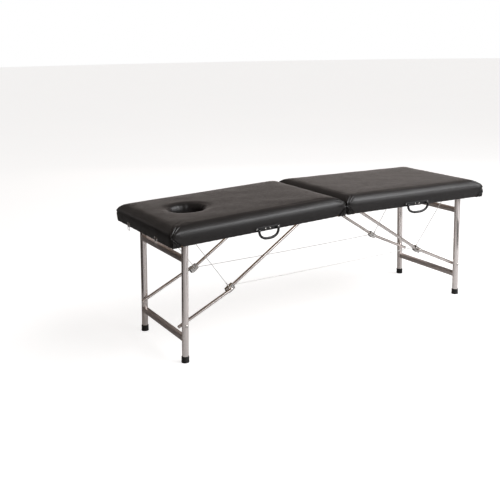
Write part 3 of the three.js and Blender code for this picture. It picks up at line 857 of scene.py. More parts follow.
def foam_material():
    t = Tree("open_cell_foam")
    cells = t.voronoi(900, "F1")
    # the pits of the open cells are darker in the base colour: painted shade in the pores that the bump sinks
    t.base(t.mix(0.7, t.ramp(t.noise(9, 3), [(0.3, (0.62, 0.55, 0.36)), (0.7, (0.72, 0.66, 0.46))]), t.ramp(cells, [(0.0, 0.45), (0.5, 1.0)]), "MULTIPLY"))
    t.rough(t.ramp(t.noise(50, 2), [(0.3, 0.86), (0.7, 0.98)]))
    t.normal(t.bump(cells, 0.0006, 0.8))
    return t.mat


FOAM = foam_material()
for h, s in HALVES:
    upholstery(s, h)
    foam_core(s, h)

# ------------------------------------------------------------------ wooden frame and deck
def finish_node(name, mat):
    o = frame["nodes"][name]
    o.data.materials.clear()
    o.data.materials.append(mat)
    o.data.polygons.foreach_set("use_smooth", [True] * len(o.data.polygons))
    o.data.set_sharp_from_angle(angle=math.radians(30))


def rail(name, h, mat, bores=()):
    """planed rail with eased edges, the same size as its CAD solid"""
    lo, hi = boxes[name]
    mm = half_matrix(-1 if h == "head" else 1)
    me = bevelled_box(mm, lo, hi, 1.4, 3)
    o = obj(name + "_planed", me, mat, f"{h}_panel", [name])
    return o


inner = 1.8
rx0, rx1, ry1 = GAP0 + inner, HALF - inner, HY - inner
ry0 = ry1 - 20
boxes = {}
for h, s in HALVES:
    for side, y in SIDES:
        e_ = ry1 - 1.0
        boxes[f"rail_{side}_{h}"] = ((rx0 + 14, min(y * e_, y * ry0), 0), (rx1 - 14, max(y * e_, y * ry0), 51))
        rail(f"rail_{side}_{h}", h, RAIL)
    boxes[f"rail_outer_{h}"] = ((rx1 - 20, -ry0 + 0.3, 0), (rx1 - 1, ry0 - 0.3, 52))
    boxes[f"rail_centre_{h}"] = ((rx0 + 1, -ry0 + 0.3, 0), (rx0 + 20, ry0 - 0.3, 52))
    rail(f"rail_outer_{h}", h, RAIL_Y)
    rail(f"rail_centre_{h}", h, RAIL_Y)
    hm = half_matrix(s)
    bm = bmesh.new()
    out_ = [bm.verts.new((x_, y_, 52.3)) for x_, y_, z_ in ring(8.5, 0, 14.0, 5)]
    f_ = bm.faces.new(out_)
    ext = bmesh.ops.extrude_face_region(bm, geom=[f_])
    for v_ in ext["geom"]:
        if isinstance(v_, bmesh.types.BMVert):
            v_.co.z = 58.2
    bmesh.ops.recalc_face_normals(bm, faces=bm.faces)
    bmesh.ops.bevel(bm, geom=[e for e in bm.edges if abs(e.verts[0].co.z - e.verts[1].co.z) < 1e-6], offset=0.6, segments=2, profile=0.5, affect="EDGES")
    me = bpy.data.meshes.new("deck")
    bm.to_mesh(me)
    bm.free()
    if s < 0:
        me = cut(me, hole_tool(3.0, False))
    me.transform(hm)
    if s < 0:
        me.flip_normals()
    obj(f"deck_ply_{h}", me, PLY, f"{h}_panel", [f"deck_board_{h}"])
    # staples that hold the turned-under cover, on the three outer edges
    mm = half_matrix(s)
    parts = []
    spots = [(x, y * 287, 0) for y in (-1, 1) for x in np.arange(40, 880, 33)] + [(HALF - 17, y, 90) for y in np.arange(-265, 270, 33)]
    for i, (x, y, a) in enumerate(spots):
        turn = math.radians(a + 8 * math.sin(i * 2.3))
        rot = Matrix.Translation((x, y, -1.55)) @ Matrix.Rotation(turn, 4, "Z")
        parts.append(bevelled_box(mm @ rot, (-5.0, -0.35, -0.35), (5.0, 0.35, 0.3), 0.12, 1))
    obj(f"staples_{h}", join(*parts), FIT, f"{h}_panel", ())

# ------------------------------------------------------------------ legs, crossbars, feet
LEG_L = None
for h, s in HALVES:
    lm = leg_matrix(s)
    body = f"leg_frame_{h}"
    # length from the pivot down to the floor along the leg
    top = lm @ Vector((0, LEG_Y, 0))
    step = (lm @ Vector((0, LEG_Y, -1))) - top
    leg_l = top.z / -step.z
    A = lambda w, y, z: lm @ Vector((w, y, z))
    bars = []
    beads = []
    for side, y in SIDES:
        cy = y * LEG_Y
        # tube: domed, pressed top; the lower end sits in the foot
        prof = [(0, 0)]
        for i in range(1, 9):
            a = i / 8 * math.pi / 2
            prof.append((0.009 * (1 - math.cos(a)), 0.015 * math.sin(a)))
        ln = (leg_l - 13 + 14) / 1000
        prof += [(ln * 0.33, 0.015), (ln * 0.66, 0.015), (ln - 0.0008, 0.015), (ln, 0.0142), (ln, 0)]
        me = revolve(A(0, cy, 14), A(0, cy, -(leg_l - 13)), prof, 56)
        # a bushing through the pivot
        bush = pipe(A(0, cy - 17.2, 0), A(0, cy + 17.2, 0), 0.0082, 0.0055, seg=32)
        obj(f"leg_tube_{side}_{h}", me, LEGS, body, [f"leg_{side}_{h}"])
        obj(f"leg_bushing_{side}_{h}", bush, RIVET, body, ())
        # rubber foot: ribbed cup, cut level with the floor
        r1, r0 = 0.0175, 0.01535
        prof = [(0.0, r0), (0.0, 0.0163), (0.0009, 0.0171), (0.0022, 0.0174)]
        for k in range(3):
            z0 = 0.006 + k * 0.0048
            prof += [(z0, 0.0174), (z0 + 0.0005, 0.01665), (z0 + 0.0015, 0.01665), (z0 + 0.002, 0.0174)]
        prof += [(0.0215, 0.0175), (0.024, 0.0179), (0.036, 0.0179), (0.036, 0.0), (0.0165, 0.0), (0.0165, r0)]
        q0 = A(0, cy, -(leg_l - 29))
        d = (A(0, cy, -leg_l) - q0).normalized()
        me = None
        xx, yy = basis(d)
        verts, faces, seg = [], [], 56
        rings = []
        for t, rr in prof:
            if rr < 1e-7:
                rings.append([len(verts)])
                verts.append(q0 + d * t)
            else:
                rings.append(list(range(len(verts), len(verts) + seg)))
                verts += [q0 + d * t + (xx * math.cos(2 * math.pi * k / seg) + yy * math.sin(2 * math.pi * k / seg)) * rr for k in range(seg)]
        for i in range(len(rings)):
            a, b = rings[i], rings[(i + 1) % len(rings)]
            for k in range(seg):
                k2 = (k + 1) % seg
                if len(a) == 1 and len(b) == 1:
                    continue
                if len(a) == 1:
                    faces.append((a[0], b[k2], b[k]))
                elif len(b) == 1:
                    faces.append((a[k], a[k2], b[0]))
                else:
                    faces.append((a[k], a[k2], b[k2], b[k]))
        me = mesh_of("foot", verts, faces)
        bm = bmesh.new()
        bm.from_mesh(me)
        bmesh.ops.bisect_plane(bm, geom=bm.verts[:] + bm.edges[:] + bm.faces[:], plane_co=(0, 0, 0.0002), plane_no=(0, 0, -1), clear_outer=True)
        open_edges = [e for e in bm.edges if e.is_boundary]
        bmesh.ops.contextual_create(bm, geom=open_edges)
        bmesh.ops.recalc_face_normals(bm, faces=bm.faces)
        bm.to_mesh(me)
        bm.free()
        obj(f"rubber_foot_{side}_{h}", me, RUBBER, body, [f"foot_{side}_{h}"])
    for name, t in (("upper", 101.8), ("lower", 461.1)):
        # square tube with rounded edges; its ends are coped to the round legs
        c0, half_b = 15 - 12.0, 12.0
        outer = [(c0 + a, b) for a, b in round_rect(24, 24, 3.2, 5)]
        inn = [(c0 + a, b) for a, b in round_rect(21, 21, 1.9, 5)]
        stations = [-1, -0.94, -0.5, 0, 0.5, 0.94, 1]
        verts, faces = [], []
        def cope(w):
            return LEG_Y - (math.sqrt(max(0.0, 15.15 ** 2 - w * w)) if abs(w) < 15.15 else 0.0)
        loops = []
        for sec in (outer, inn):
            rows = []
            for f in stations:
                row = []
                for w, b in sec:
                    row.append(len(verts))
                    verts.append(A(w, f * cope(w), -t + b))
                rows.append(row)
            loops.append(rows)
        kk = len(outer)
        for idx, rows in enumerate(loops):
            for a, b in zip(rows, rows[1:]):
                for k in range(kk):
                    k2 = (k + 1) % kk
                    faces.append((a[k], a[k2], b[k2], b[k]))
        for e in (0, -1):
            a, b = loops[0][e], loops[1][e]
            for k in range(kk):
                k2 = (k + 1) % kk
                faces.append((a[k], a[k2], b[k2], b[k]))
        obj(f"crossbar_{name}_tube_{h}", mesh_of("bar", verts, faces), BARS, body, [f"crossbar_{name}_{h}"])
        # weld bead where the bar meets each leg
        for y in (-1, 1):
            pts = [A(c0 + a, y * (cope(c0 + a) - 0.3), -t + b) for a, b in round_rect(24.4, 24.4, 3.3, 7)]
            fine = []
            n_ = len(pts)
            for i in range(n_):
                p, q = pts[i], pts[(i + 1) % n_]
                m_ = max(1, int((q - p).length / 0.0012))
                for j in range(m_):
                    fine.append(p.lerp(q, j / m_))
            sec = [(math.cos(a) * 0.0011, math.sin(a) * 0.0011) for a in np.linspace(0, 2 * math.pi, 9)[:-1]]
            me = sweep(fine, sec, True, up=Vector((0, 1, 0)))
            co = coords(me)
            ctr = np.repeat(np.array([list(p) for p in fine]), len(sec), axis=0)
            scale = 1 + 0.28 * np.sin(np.repeat(np.arange(len(fine)), len(sec)) * 1.15)
            set_coords(me, ctr + (co - ctr) * scale[:, None])
            beads.append(me)
    obj(f"weld_beads_{h}", join(*beads), BARS, body, ())

# ------------------------------------------------------------------ rods the legs and upper braces turn on
for h, s in HALVES:
    for nm, (px, pz), rr in (("leg_rod", (PX, PZ), 0.005), ("brace_rod", B, 0.004)):
        ends = []
        p, q = L(s, px, -ry0 - 7.6, pz), L(s, px, ry0 + 7.6, pz)
        ln = (q - p).length
        me = revolve(p, q, [(0, 0), (0, rr - 0.0006), (0.0006, rr), (ln - 0.0006, rr), (ln, rr - 0.0006), (ln, 0)], 32)
        obj(f"{nm}_turned_{h}", me, RIVET, f"{h}_panel", [f"{nm}_{h}"])
        # flanged washers against the rails, and spring clips beside the tubes
        ws = []
        for y in (-1, 1):
            yy = y * (ry0 - 0.2)
            ws.append(pipe(L(s, px, yy - y * 1.6, pz), L(s, px, yy, pz), rr + 0.006, rr + 0.0006, 0.0004, 32))
            yc = y * (LEG_Y - 19.5 if nm == "leg_rod" else UP_Y - 10.5)
            ws.append(pipe(L(s, px, yc - 1.4, pz), L(s, px, yc, pz), rr + 0.0042, rr + 0.0002, 0.0003, 32))
            yc = y * (LEG_Y + 17.8 if nm == "leg_rod" else UP_Y + 9.0)
            ws.append(pipe(L(s, px, yc, pz), L(s, px, yc + 1.4, pz), rr + 0.0042, rr + 0.0002, 0.0003, 32))
        obj(f"{nm}_washers_{h}", join(*ws), FIT, f"{h}_panel", ())

# ------------------------------------------------------------------ braces and knuckles
def brace_tube(s, p, q, y, flat_p=0.0, flat_q=0.0):
    """Round tube with domed plugs. flat_p and flat_q are not used; no stretch is pressed flat."""
    a, b = L(s, p[0], y, p[1]), L(s, q[0], y, q[1])
    ln = (b - a).length
    r_ = BR / 1000
    prof = [(0, 0)]
    for i in range(1, 7):
        t = i / 6 * math.pi / 2
        prof.append((r_ * 0.55 * (1 - math.cos(t)), r_ * math.sin(t)))
    prof += [(0.022, r_), (0.045, r_), (ln * 0.35, r_), (ln * 0.65, r_), (ln - 0.045, r_), (ln - 0.022, r_)]
    for i in range(6, 0, -1):
        t = i / 6 * math.pi / 2
        prof.append((ln - r_ * 0.55 * (1 - math.cos(t)), r_ * math.sin(t)))
    prof.append((ln, 0))
    return revolve(a, b, prof, 40)


for h, s in HALVES:
    for side, y in SIDES:
        ub, lb = f"upper_brace_{side}_{h}", f"lower_brace_{side}_{h}"
        top, tip = along(K, B, BR), along(B, K, BR)
        obj(f"brace_upper_tube_{side}_{h}", brace_tube(s, top, tip, y * UP_Y), BRACES, ub, [f"brace_upper_{side}_{h}"])
        low, end = along(D, K, 10), along(K, D, 27)
        obj(f"brace_lower_tube_{side}_{h}", brace_tube(s, low, end, y * LOW_Y), BRACES, lb, [f"brace_lower_{side}_{h}"])
        # pin through the leg, with its rivet head outside
        pins = [revolve(L(s, D[0], y * 200, D[1]), L(s, D[0], y * 240.2, D[1]), [(0, 0), (0, 0.004), (0.0402, 0.004), (0.0402, 0)], 28),
                rivet(L(s, D[0], y * 239.4, D[1]), L(s, D[0], y * 250, D[1]) - L(s, D[0], y * 240, D[1]), 0.007, 0.0026),
                pipe(L(s, D[0], y * 208, D[1]) if y > 0 else L(s, D[0], -208.3, D[1]), L(s, D[0], y * 208.3, D[1]) if y > 0 else L(s, D[0], -208, D[1]), 0.0075, 0.0042, 0.0001),
                rivet(L(s, K[0], y * 207.2, K[1]), L(s, K[0], y * 250, K[1]) - L(s, K[0], y * 240, K[1]), 0.006, 0.0024),
                revolve(L(s, K[0], y * 194.6, K[1]), L(s, K[0], y * 208, K[1]), [(0, 0), (0, 0.0052), (0.0004, 0.0056), (0.013, 0.0056), (0.0134, 0.0052), (0.0134, 0)], 28)]
        pins.pop(2)
        obj(f"brace_lower_rivets_{side}_{h}", join(*pins), RIVET, lb, ())
        # knuckle bracket: pressed channel around the end of the upper brace
        km = line_matrix(s, B, K)
        yi, yo = 171.5, 191.7
        ym, hw = y * (yi + yo) / 2, (yo - yi) / 2
        t_, rr_, zt, zb = 2.0, 3.6, 12.3, -16.3
        ys = (lambda a: y * a)
        # section, around the U, in (y, z): outer loop down then inner loop back
        def arc(cy, cz, r0_, a0, a1, n_=6):
            return [(cy + r0_ * math.cos(math.radians(a0 + (a1 - a0) * i / n_)), cz + r0_ * math.sin(math.radians(a0 + (a1 - a0) * i / n_))) for i in range(n_ + 1)]
        outer = [(-hw, zb)] + arc(-hw + rr_, zt - rr_, rr_, 180, 90) + arc(hw - rr_, zt - rr_, rr_, 90, 0) + [(hw, zb)]
        innr = [(hw - t_, zb)] + arc(hw - rr_, zt - rr_, rr_ - t_, 0, 90) + arc(-hw + rr_, zt - rr_, rr_ - t_, 90, 180) + [(-hw + t_, zb)]
        sec = outer + innr
        xs = [-26, -25.2, -10, 5, 14.7, 15.5]
        verts, faces = [], []
        for i, xv in enumerate(xs):
            sc = 0.985 if i in (0, len(xs) - 1) else 1.0
            for a, b in sec:
                zz = b
                if b == zb:  # lower corners rounded off towards both ends
                    zz = zb + (5.5 if i in (0, len(xs) - 1) else (2.6 if i in (1, len(xs) - 2) else 0))
                verts.append(km @ Vector((xv, ym + a, zz)))
        kk = len(sec)
        for i in range(len(xs) - 1):
            for k in range(kk):
                k2 = (k + 1) % kk
                faces.append((i * kk + k, i * kk + k2, (i + 1) * kk + k2, (i + 1) * kk + k))
        no = len(outer)
        for i in (0, len(xs) - 1):     # the end faces, as a strip between outer and inner runs
            base_ = i * kk
            for k in range(no - 1):
                faces.append((base_ + k, base_ + k + 1, base_ + kk - 2 - k, base_ + kk - 1 - k))
        me = mesh_of("channel", verts, faces)
        tag = [bevelled_box(km, (14.2, y * 181.6 - 6.5, -12.5), (18.6, y * 181.6 + 6.5, 4.5), 1.2, 3)]
        obj(f"knuckle_channel_{side}_{h}", me, FIT, ub, [f"knuckle_bracket_{side}_{h}"])
        obj(f"knuckle_stop_{side}_{h}", join(*tag), CAPS, ub, ())
        kp = [rivet(km @ Vector((0, y * 191.4, 0)), km @ Vector((0, y * 200, 0)) - km @ Vector((0, y * 190, 0)), 0.0052, 0.0018),
              revolve(km @ Vector((0, y * 171.2, 0)), km @ Vector((0, y * 191.6, 0)), [(0, 0), (0, 0.003), (0.0204, 0.003), (0.0204, 0)], 28),
              rivet(km @ Vector((0, y * 171.8, 0)), km @ Vector((0, y * 160, 0)) - km @ Vector((0, y * 170, 0)), 0.0052, 0.0018),
              rivet(km @ Vector((-17, y * 191.4, 0)), km @ Vector((0, y * 200, 0)) - km @ Vector((0, y * 190, 0)), 0.0034, 0.0013),
              rivet(km @ Vector((-17, y * 171.8, 0)), km @ Vector((0, y * 160, 0)) - km @ Vector((0, y * 170, 0)), 0.0034, 0.0013)]
        obj(f"knuckle_rivets_{side}_{h}", join(*kp), RIVET, ub, ())

# ------------------------------------------------------------------ piano hinge
HH, NK = 278.0, 9
for h, s in HALVES:
    hm = half_matrix(s)
    w_ = 2 * HH / NK
    parts = [bevelled_box(hm, (3.0, -HH, -1.8), (22, HH, -0.3), 0.35, 2)]
    for i in range(1 if s > 0 else 0, NK, 2):
        y0 = -HH + i * w_ + 0.25
        y1 = y0 + w_ - 0.5
        parts.append(pipe(L(s, 0, y0, -2), L(s, 0, y1, -2), 0.0026, 0.0014, 0.0003, 28))
        parts.append(bevelled_box(hm, (1.6, y0, -1.8), (3.4, y1, -0.3), 0.2, 1))
    obj(f"piano_hinge_leaf_{h}", join(*parts), FIT, f"{h}_panel", [f"hinge_leaf_{h}"])
    sc = [screw(L(s, 13.5 + (3 if k % 2 else -3), -HH + 18 + k * (2 * HH - 36) / 11, -1.22), L(s, 0, 0, -1) - L(s, 0, 0, 0), 0.0031, 0.0007, k * 0.7) for k in range(12)]
    obj(f"hinge_screws_{h}", join(*sc), RIVET, f"{h}_panel", ())
lo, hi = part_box("hinge_pin")
p, q = Vector(((lo.x + hi.x) / 2, lo.y, (lo.z + hi.z) / 2)), Vector(((lo.x + hi.x) / 2, hi.y, (lo.z + hi.z) / 2))
ln = (q - p).length
obj("hinge_pin_wire", revolve(p, q, [(0, 0), (0, 0.0009), (0.0004, 0.0012), (ln - 0.0004, 0.0012), (ln, 0.0009), (ln, 0)], 24), RIVET, "centre_hinge_pin", ["hinge_pin"])

# ------------------------------------------------------------------ carry handles
HX, HW = 436.0, {"head": 55.0, "foot": 70.5}
for h, s in HALVES:
    hm = half_matrix(s)
    hw, gt, gy, gz, drop = HW[h], 10.0, -314.5, 8.0, 45.0
    iw = hw - gt
    # base plate with full round ends
    pts = []
    for cx, a0 in ((HX + hw + 8 - 9.6, -90), (HX - hw - 8 + 9.6, 90)):
        for i in range(11):
            a = math.radians(a0 + 18 * i)
            pts.append((cx + 9.6 * math.cos(a), 11 + 9.6 * math.sin(a)))
    parts = [plate(hm, pts, -HY - 0.3 - 2.7, -HY - 0.3, 0.7)]
    for e in (-1, 1):
        a, b = (iw - 3.6, iw - 0.5) if e > 0 else (-iw + 0.5, -iw + 3.6)
        ear = [(HX + a, 0)]
        lug = []
        # an ear: upright plate with a round nose around the pivot
        out = []
        for i in range(13):
            t = math.radians(-90 - 15 * i)
            out.append((gy + 4.4 * math.cos(t), gz + 4.6 * math.sin(t)))
        prof = [(-HY - 1.0, 2.2)] + [(y_, z_) for y_, z_ in out] + [(-HY - 1.0, 13.8)]
        verts = [hm @ Vector((HX + a, y_, z_)) for y_, z_ in prof] + [hm @ Vector((HX + b, y_, z_)) for y_, z_ in prof]
        n_ = len(prof)
        faces = [tuple(range(n_)), tuple(reversed(range(n_, 2 * n_)))] + [(k, (k + 1) % n_, n_ + (k + 1) % n_, n_ + k) for k in range(n_)]
        parts.append(mesh_of("ear", verts, faces))
    obj(f"handle_plate_{h}", join(*parts), PLASTIC, f"{h}_panel", [f"handle_base_{h}"])
    sc = [screw(hm @ Vector((HX + e * dx, -HY - 3.0, 11)), hm @ Vector((0, -10, 0)) - hm @ Vector((0, 0, 0)), 0.0036, 0.0012, 0.5 + dx) for e in (-1, 1) for dx in (hw + 0.5, 12.0)]
    obj(f"handle_screws_{h}", join(*sc), RIVET, f"{h}_panel", ())
    # the D loop: one swept bar, fuller in the middle of the grip
    zb = gz - drop
    rc = 24.0
    dense = []
    for i in range(57):
        t = math.pi * (1 + i / 56)
        cx_, sx_ = math.cos(t), math.sin(t)
        dense.append(((hw - 5) * math.copysign(abs(cx_) ** (2 / 2.5), cx_), gz + 1.5 - (gz + 1.5 - zb - 5) * abs(sx_) ** (2 / 2.5)))
    pts3 = [hm @ Vector((HX + a, gy, b)) for a, b in dense]
    sec = [(a / 1000, b / 1000) for a, b in round_rect(11, 10.2, 4.6, 6)]
    across = (hm @ Vector((0, 1, 0)) - hm @ Vector((0, 0, 0))).normalized()
    me = sweep(pts3, sec, False, up=across)
    # fuller grip, with shallow finger waves, and round knobs at the pivots
    co = coords(me)
    kk = len(sec)
    ctr = np.repeat(np.array([list(p) for p in pts3]), kk, axis=0)
    mid = np.repeat(np.array([smoothstep(hw * 0.80, hw * 0.45, np.array([abs(a)]))[0] * (1 if b < zb + 8 else 0) for a, b in dense]), kk)
    wave_ = np.repeat(np.array([math.cos(a / 21 * 2 * math.pi) for a, b in dense]), kk)
    sc_ = 1 + 0.06 * mid + 0.035 * mid * wave_
    set_coords(me, ctr + (co - ctr) * sc_[:, None])
    knobs = []
    for e in (-1, 1):
        p = hm @ Vector((HX + e * (hw - 10.0), gy, gz))
        q = hm @ Vector((HX + e * (hw - 0.1), gy, gz))
        ln = (q - p).length
        knobs.append(revolve(p, q, [(0, 0), (0, 0.0040), (0.0007, 0.0047), (ln - 0.0007, 0.0047), (ln, 0.0040), (ln, 0)], 32))
        knobs.append(revolve(hm @ Vector((HX + e * (iw - 4.2), gy, gz)), hm @ Vector((HX + e * (iw + 1), gy, gz)), [(0, 0), (0, 0.002), (0.0052, 0.002), (0.0052, 0)], 20))
    obj(f"handle_loop_{h}", join(me, *knobs), PLASTIC, f"handle_grip_{h}", [f"handle_grip_{h}"])

# ------------------------------------------------------------------ latches and catches
X0 = HALF + 0.3
for side, y in SIDES:
    cy = y * 150.0
    hm = half_matrix(-1)
    parts = [bevelled_box(hm, (X0, cy - 15, 1), (X0 + 1.5, cy + 15, 20), 0.5, 2)]
    for e in (-1, 1):
        parts.append(pipe(hm @ Vector((X0 + 2.8, cy + e * 12 - 0.95, 11)), hm @ Vector((X0 + 2.8, cy + e * 12 + 0.95, 11)), 0.0022, 0.00095, 0.0002, 24))
        parts.append(bevelled_box(hm, (X0 + 1.2, cy + e * 12 - 0.9, 7.8), (X0 + 2.2, cy + e * 12 + 0.9, 14.2), 0.15, 1))
    obj(f"latch_plate_{side}", join(*parts), FIT, "head_panel", [f"latch_base_{side}"])
    ax = hm @ Vector((10, 0, 0)) - hm @ Vector((0, 0, 0))
    obj(f"latch_screws_{side}", join(*[screw(hm @ Vector((X0 + 1.5, cy + e * 5.4, 16.8)), ax, 0.0021, 0.0005, e) for e in (-1, 1)]), RIVET, "head_panel", ())
    # hasp: a wire bail with a pressed tongue
    loop = []
    for cx_, cz_, a0 in ((cy + 10.6 - 3.2, -16 + 3.2, 0), (cy - 10.6 + 3.2, -16 + 3.2, -90)):
        loop += [(cx_ + (3.2 - 0.9) * math.cos(math.radians(a0 - 90 * i / 6)), cz_ + (3.2 - 0.9) * math.sin(math.radians(a0 - 90 * i / 6))) for i in range(7)]
    pts = [(cy + 9.7, 9.5)] + [(cy + 9.7, 9.5 - 3.5 * i) for i in range(1, 6)] + loop + [(cy - 9.7, -8 + 3.5 * i) for i in range(0, 5)] + [(cy - 9.7, 9.5)]
    p3 = [hm @ Vector((X0 + 2.8, a, b)) for a, b in pts]
    nrm_ = (hm @ Vector((1, 0, 0)) - hm @ Vector((0, 0, 0))).normalized()
    sec = [(math.cos(a) * 0.0011, math.sin(a) * 0.0011) for a in np.linspace(0, 2 * math.pi, 13)[:-1]]
    bits = [sweep(p3, sec, False, up=nrm_), bevelled_box(hm, (X0 + 2.05, cy - 10.4, -0.8), (X0 + 3.55, cy + 10.4, 11.7), 0.5, 2)]
    bits.append(revolve(hm @ Vector((X0 + 2.8, cy - 12.7, 11)), hm @ Vector((X0 + 2.8, cy + 12.7, 11)), [(0, 0), (0, 0.00065), (0.0254, 0.00065), (0.0254, 0)], 16))
    obj(f"latch_bail_{side}", join(*bits), FIT, f"latch_hasp_{side}", [f"latch_hasp_{side}"])
    hm = half_matrix(1)
    ax = hm @ Vector((10, 0, 0)) - hm @ Vector((0, 0, 0))
    parts = [bevelled_box(hm, (X0, cy - 12, 0.5), (X0 + 1.5, cy + 12, 17), 0.5, 2),
             revolve(hm @ Vector((X0 + 1, cy, 4)), hm @ Vector((X0 + 4.1, cy, 4)), [(0, 0), (0, 0.0022), (0.0014, 0.0022), (0.0017, 0.0028), (0.0026, 0.003), (0.0031, 0.0024), (0.0031, 0)], 32)]
    obj(f"latch_stud_{side}", join(*parts), FIT, "foot_panel", [f"latch_catch_{side}"])
    obj(f"catch_screws_{side}", join(*[screw(hm @ Vector((X0 + 1.5, cy + e * 7.6, 12.4)), ax, 0.0021, 0.0005, 0.4 * e) for e in (-1, 1)]), RIVET, "foot_panel", ())

# ------------------------------------------------------------------ wire cables
CR = 0.0015
for side, y in SIDES:
    bends, tops = {}, {}
    for h, s in HALVES:
        tops[h] = L(s, 789, y * 184, 50.5)
        k = L(s, K[0], y * 168.4, K[1])
        bends[h] = k + Vector((-s * 0.004, 0, 0.009))

    def strand(path, radius, lay_len=0.011, phase=0.0):
        """A wire rope: a six-lobed section that turns as it goes."""
        verts, faces = [], []
        seg, n_ = 18, len(path)
        dist = 0.0
        for i, p in enumerate(path):
            a_, b_ = path[max(0, i - 1)], path[min(n_ - 1, i + 1)]
            t_ = (b_ - a_).normalized()
            if i:
                dist += (p - path[i - 1]).length
            side_ = Vector((0, 1, 0)).cross(t_).normalized()
            up__ = t_.cross(side_)
            tw = 2 * math.pi * dist / lay_len / 6 * 1.0 + phase
            for k_ in range(seg):
                an = 2 * math.pi * k_ / seg
                rr = radius * (0.90 + 0.10 * math.cos(6 * (an - tw)))
                verts.append(p + side_ * (rr * math.cos(an)) + up__ * (rr * math.sin(an)))
        for i in range(n_ - 1):
            for k_ in range(seg):
                k2 = (k_ + 1) % seg
                faces.append((i * seg + k_, i * seg + k2, (i + 1) * seg + k2, (i + 1) * seg + k_))
        faces.append(tuple(range(seg)))
        faces.append(tuple((n_ - 1) * seg + k_ for k_ in reversed(range(seg))))
        return mesh_of("strand", verts, faces)

    centre = (bends["head"] + bends["foot"]) / 2 - Vector((0, 0, 0.004))
    for h, s in HALVES:
        # short run: from under the deck down to the knuckle
        e_, b_ = tops[h], bends[h]
        ln = (b_ - e_).length
        path = [e_.lerp(b_, i / 150) for i in range(151)]
        me = strand(path, CR)
        o = obj(f"cable_short_{side}_{h}", me, WIRE)
        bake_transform(o)
        # half of the long run: knuckle to the middle, lying slack along the brace when the table folds
        dy = Vector((0, y * 0.0, 0))
        path = []
        for i in range(221):
            t = i / 220 * 0.5
            p = bends["head"].lerp(bends["foot"], t if s < 0 else 1 - t)
            p = p - Vector((0, 0, 0.016 * t * (1 - t)))
            path.append(p)
        me = strand(path, CR)
        o = obj(f"cable_long_{side}_{h}", me, WIRE, f"upper_brace_{side}_{h}", [f"cable_{side}"] if s < 0 else ())
        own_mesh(o)
        # crimp sleeve and eye on the knuckle's pin, and an eye plate under the deck
        km = line_matrix(s, B, K)
        dl = (path[12] - path[0]).normalized()
        sl = [revolve(path[0] + dl * 0.004, path[0] + dl * 0.018, [(0, 0.0), (0, 0.0022), (0.0006, 0.0027), (0.006, 0.0025), (0.0068, 0.0022), (0.0076, 0.0025), (0.0134, 0.0027), (0.014, 0.0022), (0.014, 0.0)], 24)]
        ds = (tops[h] - bends[h]).normalized()
        sl.append(revolve(bends[h] + ds * 0.004, bends[h] + ds * 0.018, [(0, 0.0), (0, 0.0022), (0.0006, 0.0027), (0.006, 0.0025), (0.0068, 0.0022), (0.0076, 0.0025), (0.0134, 0.0027), (0.014, 0.0022), (0.014, 0.0)], 24))
        kc = km @ Vector((0, y * 168.4, 0))
        eye = []
        for i in range(36):
            a = 2 * math.pi * i / 36
            eye.append(bends[h].lerp(kc, 0.5) + (km @ Vector((math.cos(a) * 5.6, 0, math.sin(a) * 6.4)) - km @ Vector((0, 0, 0))))
        sec = [(math.cos(a) * 0.0012, math.sin(a) * 0.0012) for a in np.linspace(0, 2 * math.pi, 11)[:-1]]
        sl.append(sweep(eye, sec, True, up=Vector((0, 1, 0))))
        obj(f"cable_sleeves_{side}_{h}", join(*sl), FIT, f"upper_brace_{side}_{h}", ())
        hm = half_matrix(s)
        ep = [bevelled_box(hm, (780, y * 184 - 8, 50.3), (800, y * 184 + 8, 51.9), 0.4, 2)]
        ring_ = [hm @ Vector((789 + 4.2 * math.cos(a), y * 184, 48.2 + 4.2 * math.sin(a))) for a in np.linspace(0, 2 * math.pi, 33)[:-1]]
        ep.append(sweep(ring_, sec, True, up=(hm @ Vector((0, 1, 0)) - hm @ Vector((0, 0, 0))).normalized()))
        obj(f"cable_eye_plate_{side}_{h}", join(*ep), FIT, f"{h}_panel", ())

# ------------------------------------------------------------------ studio
floor_mat = Tree("studio_floor")
floor_mat.base(floor_mat.ramp(floor_mat.noise(0.6, 2), [(0.3, (0.50, 0.50, 0.50)), (0.7, (0.53, 0.525, 0.52))]))
floor_mat.set(Roughness=0.8, Specular_IOR_Level=0.05)
floor_mat.b.inputs["Emission Color"].default_value = (1, 1, 1, 1)
floor_mat.link(floor_mat.math("MULTIPLY", floor_mat.n.new("ShaderNodeLightPath").outputs["Is Camera Ray"], 0.78), floor_mat.b.inputs["Emission Strength"])
me = bpy.data.meshes.new("floor")
bm = bmesh.new()
bmesh.ops.create_circle(bm, cap_ends=True, radius=40, segments=96)
bm.to_mesh(me)
bm.free()
floor = bpy.data.objects.new("studio_floor", me)
scene.collection.objects.link(floor)
me.materials.append(floor_mat.mat)
floor.location = (0, 0, -0.0003)

WORLD_TOP = 1.15
world = bpy.data.worlds.new("studio")
scene.world = world
world.use_nodes = True
wt = world.node_tree
wn, wl = wt.nodes, wt.links
bg = wn["Background"]
gen = wn.new("ShaderNodeTexCoord").outputs["Generated"]
sep = wn.new("ShaderNodeSeparateXYZ")
wl.new(gen, sep.inputs[0])


def wmath(op, a, b=None, clamp=False):
    x = wn.new("ShaderNodeMath")
    x.operation = op
    x.use_clamp = clamp
    for i, v in enumerate((a, b)):
        if v is None:
            continue
        if isinstance(v, (int, float)):
            x.inputs[i].default_value = v
        else:
            wl.new(v, x.inputs[i])
    return x.outputs[0]


# bright studio walls with dark gaps near the horizon, seen only in reflections; the ceiling is an even, dim dome
ang = wmath("ARCTAN2", sep.outputs[1], sep.outputs[0])
turn = wmath("MULTIPLY_ADD", ang, 1 / (2 * math.pi))
turn.node.inputs[2].default_value = 0.5


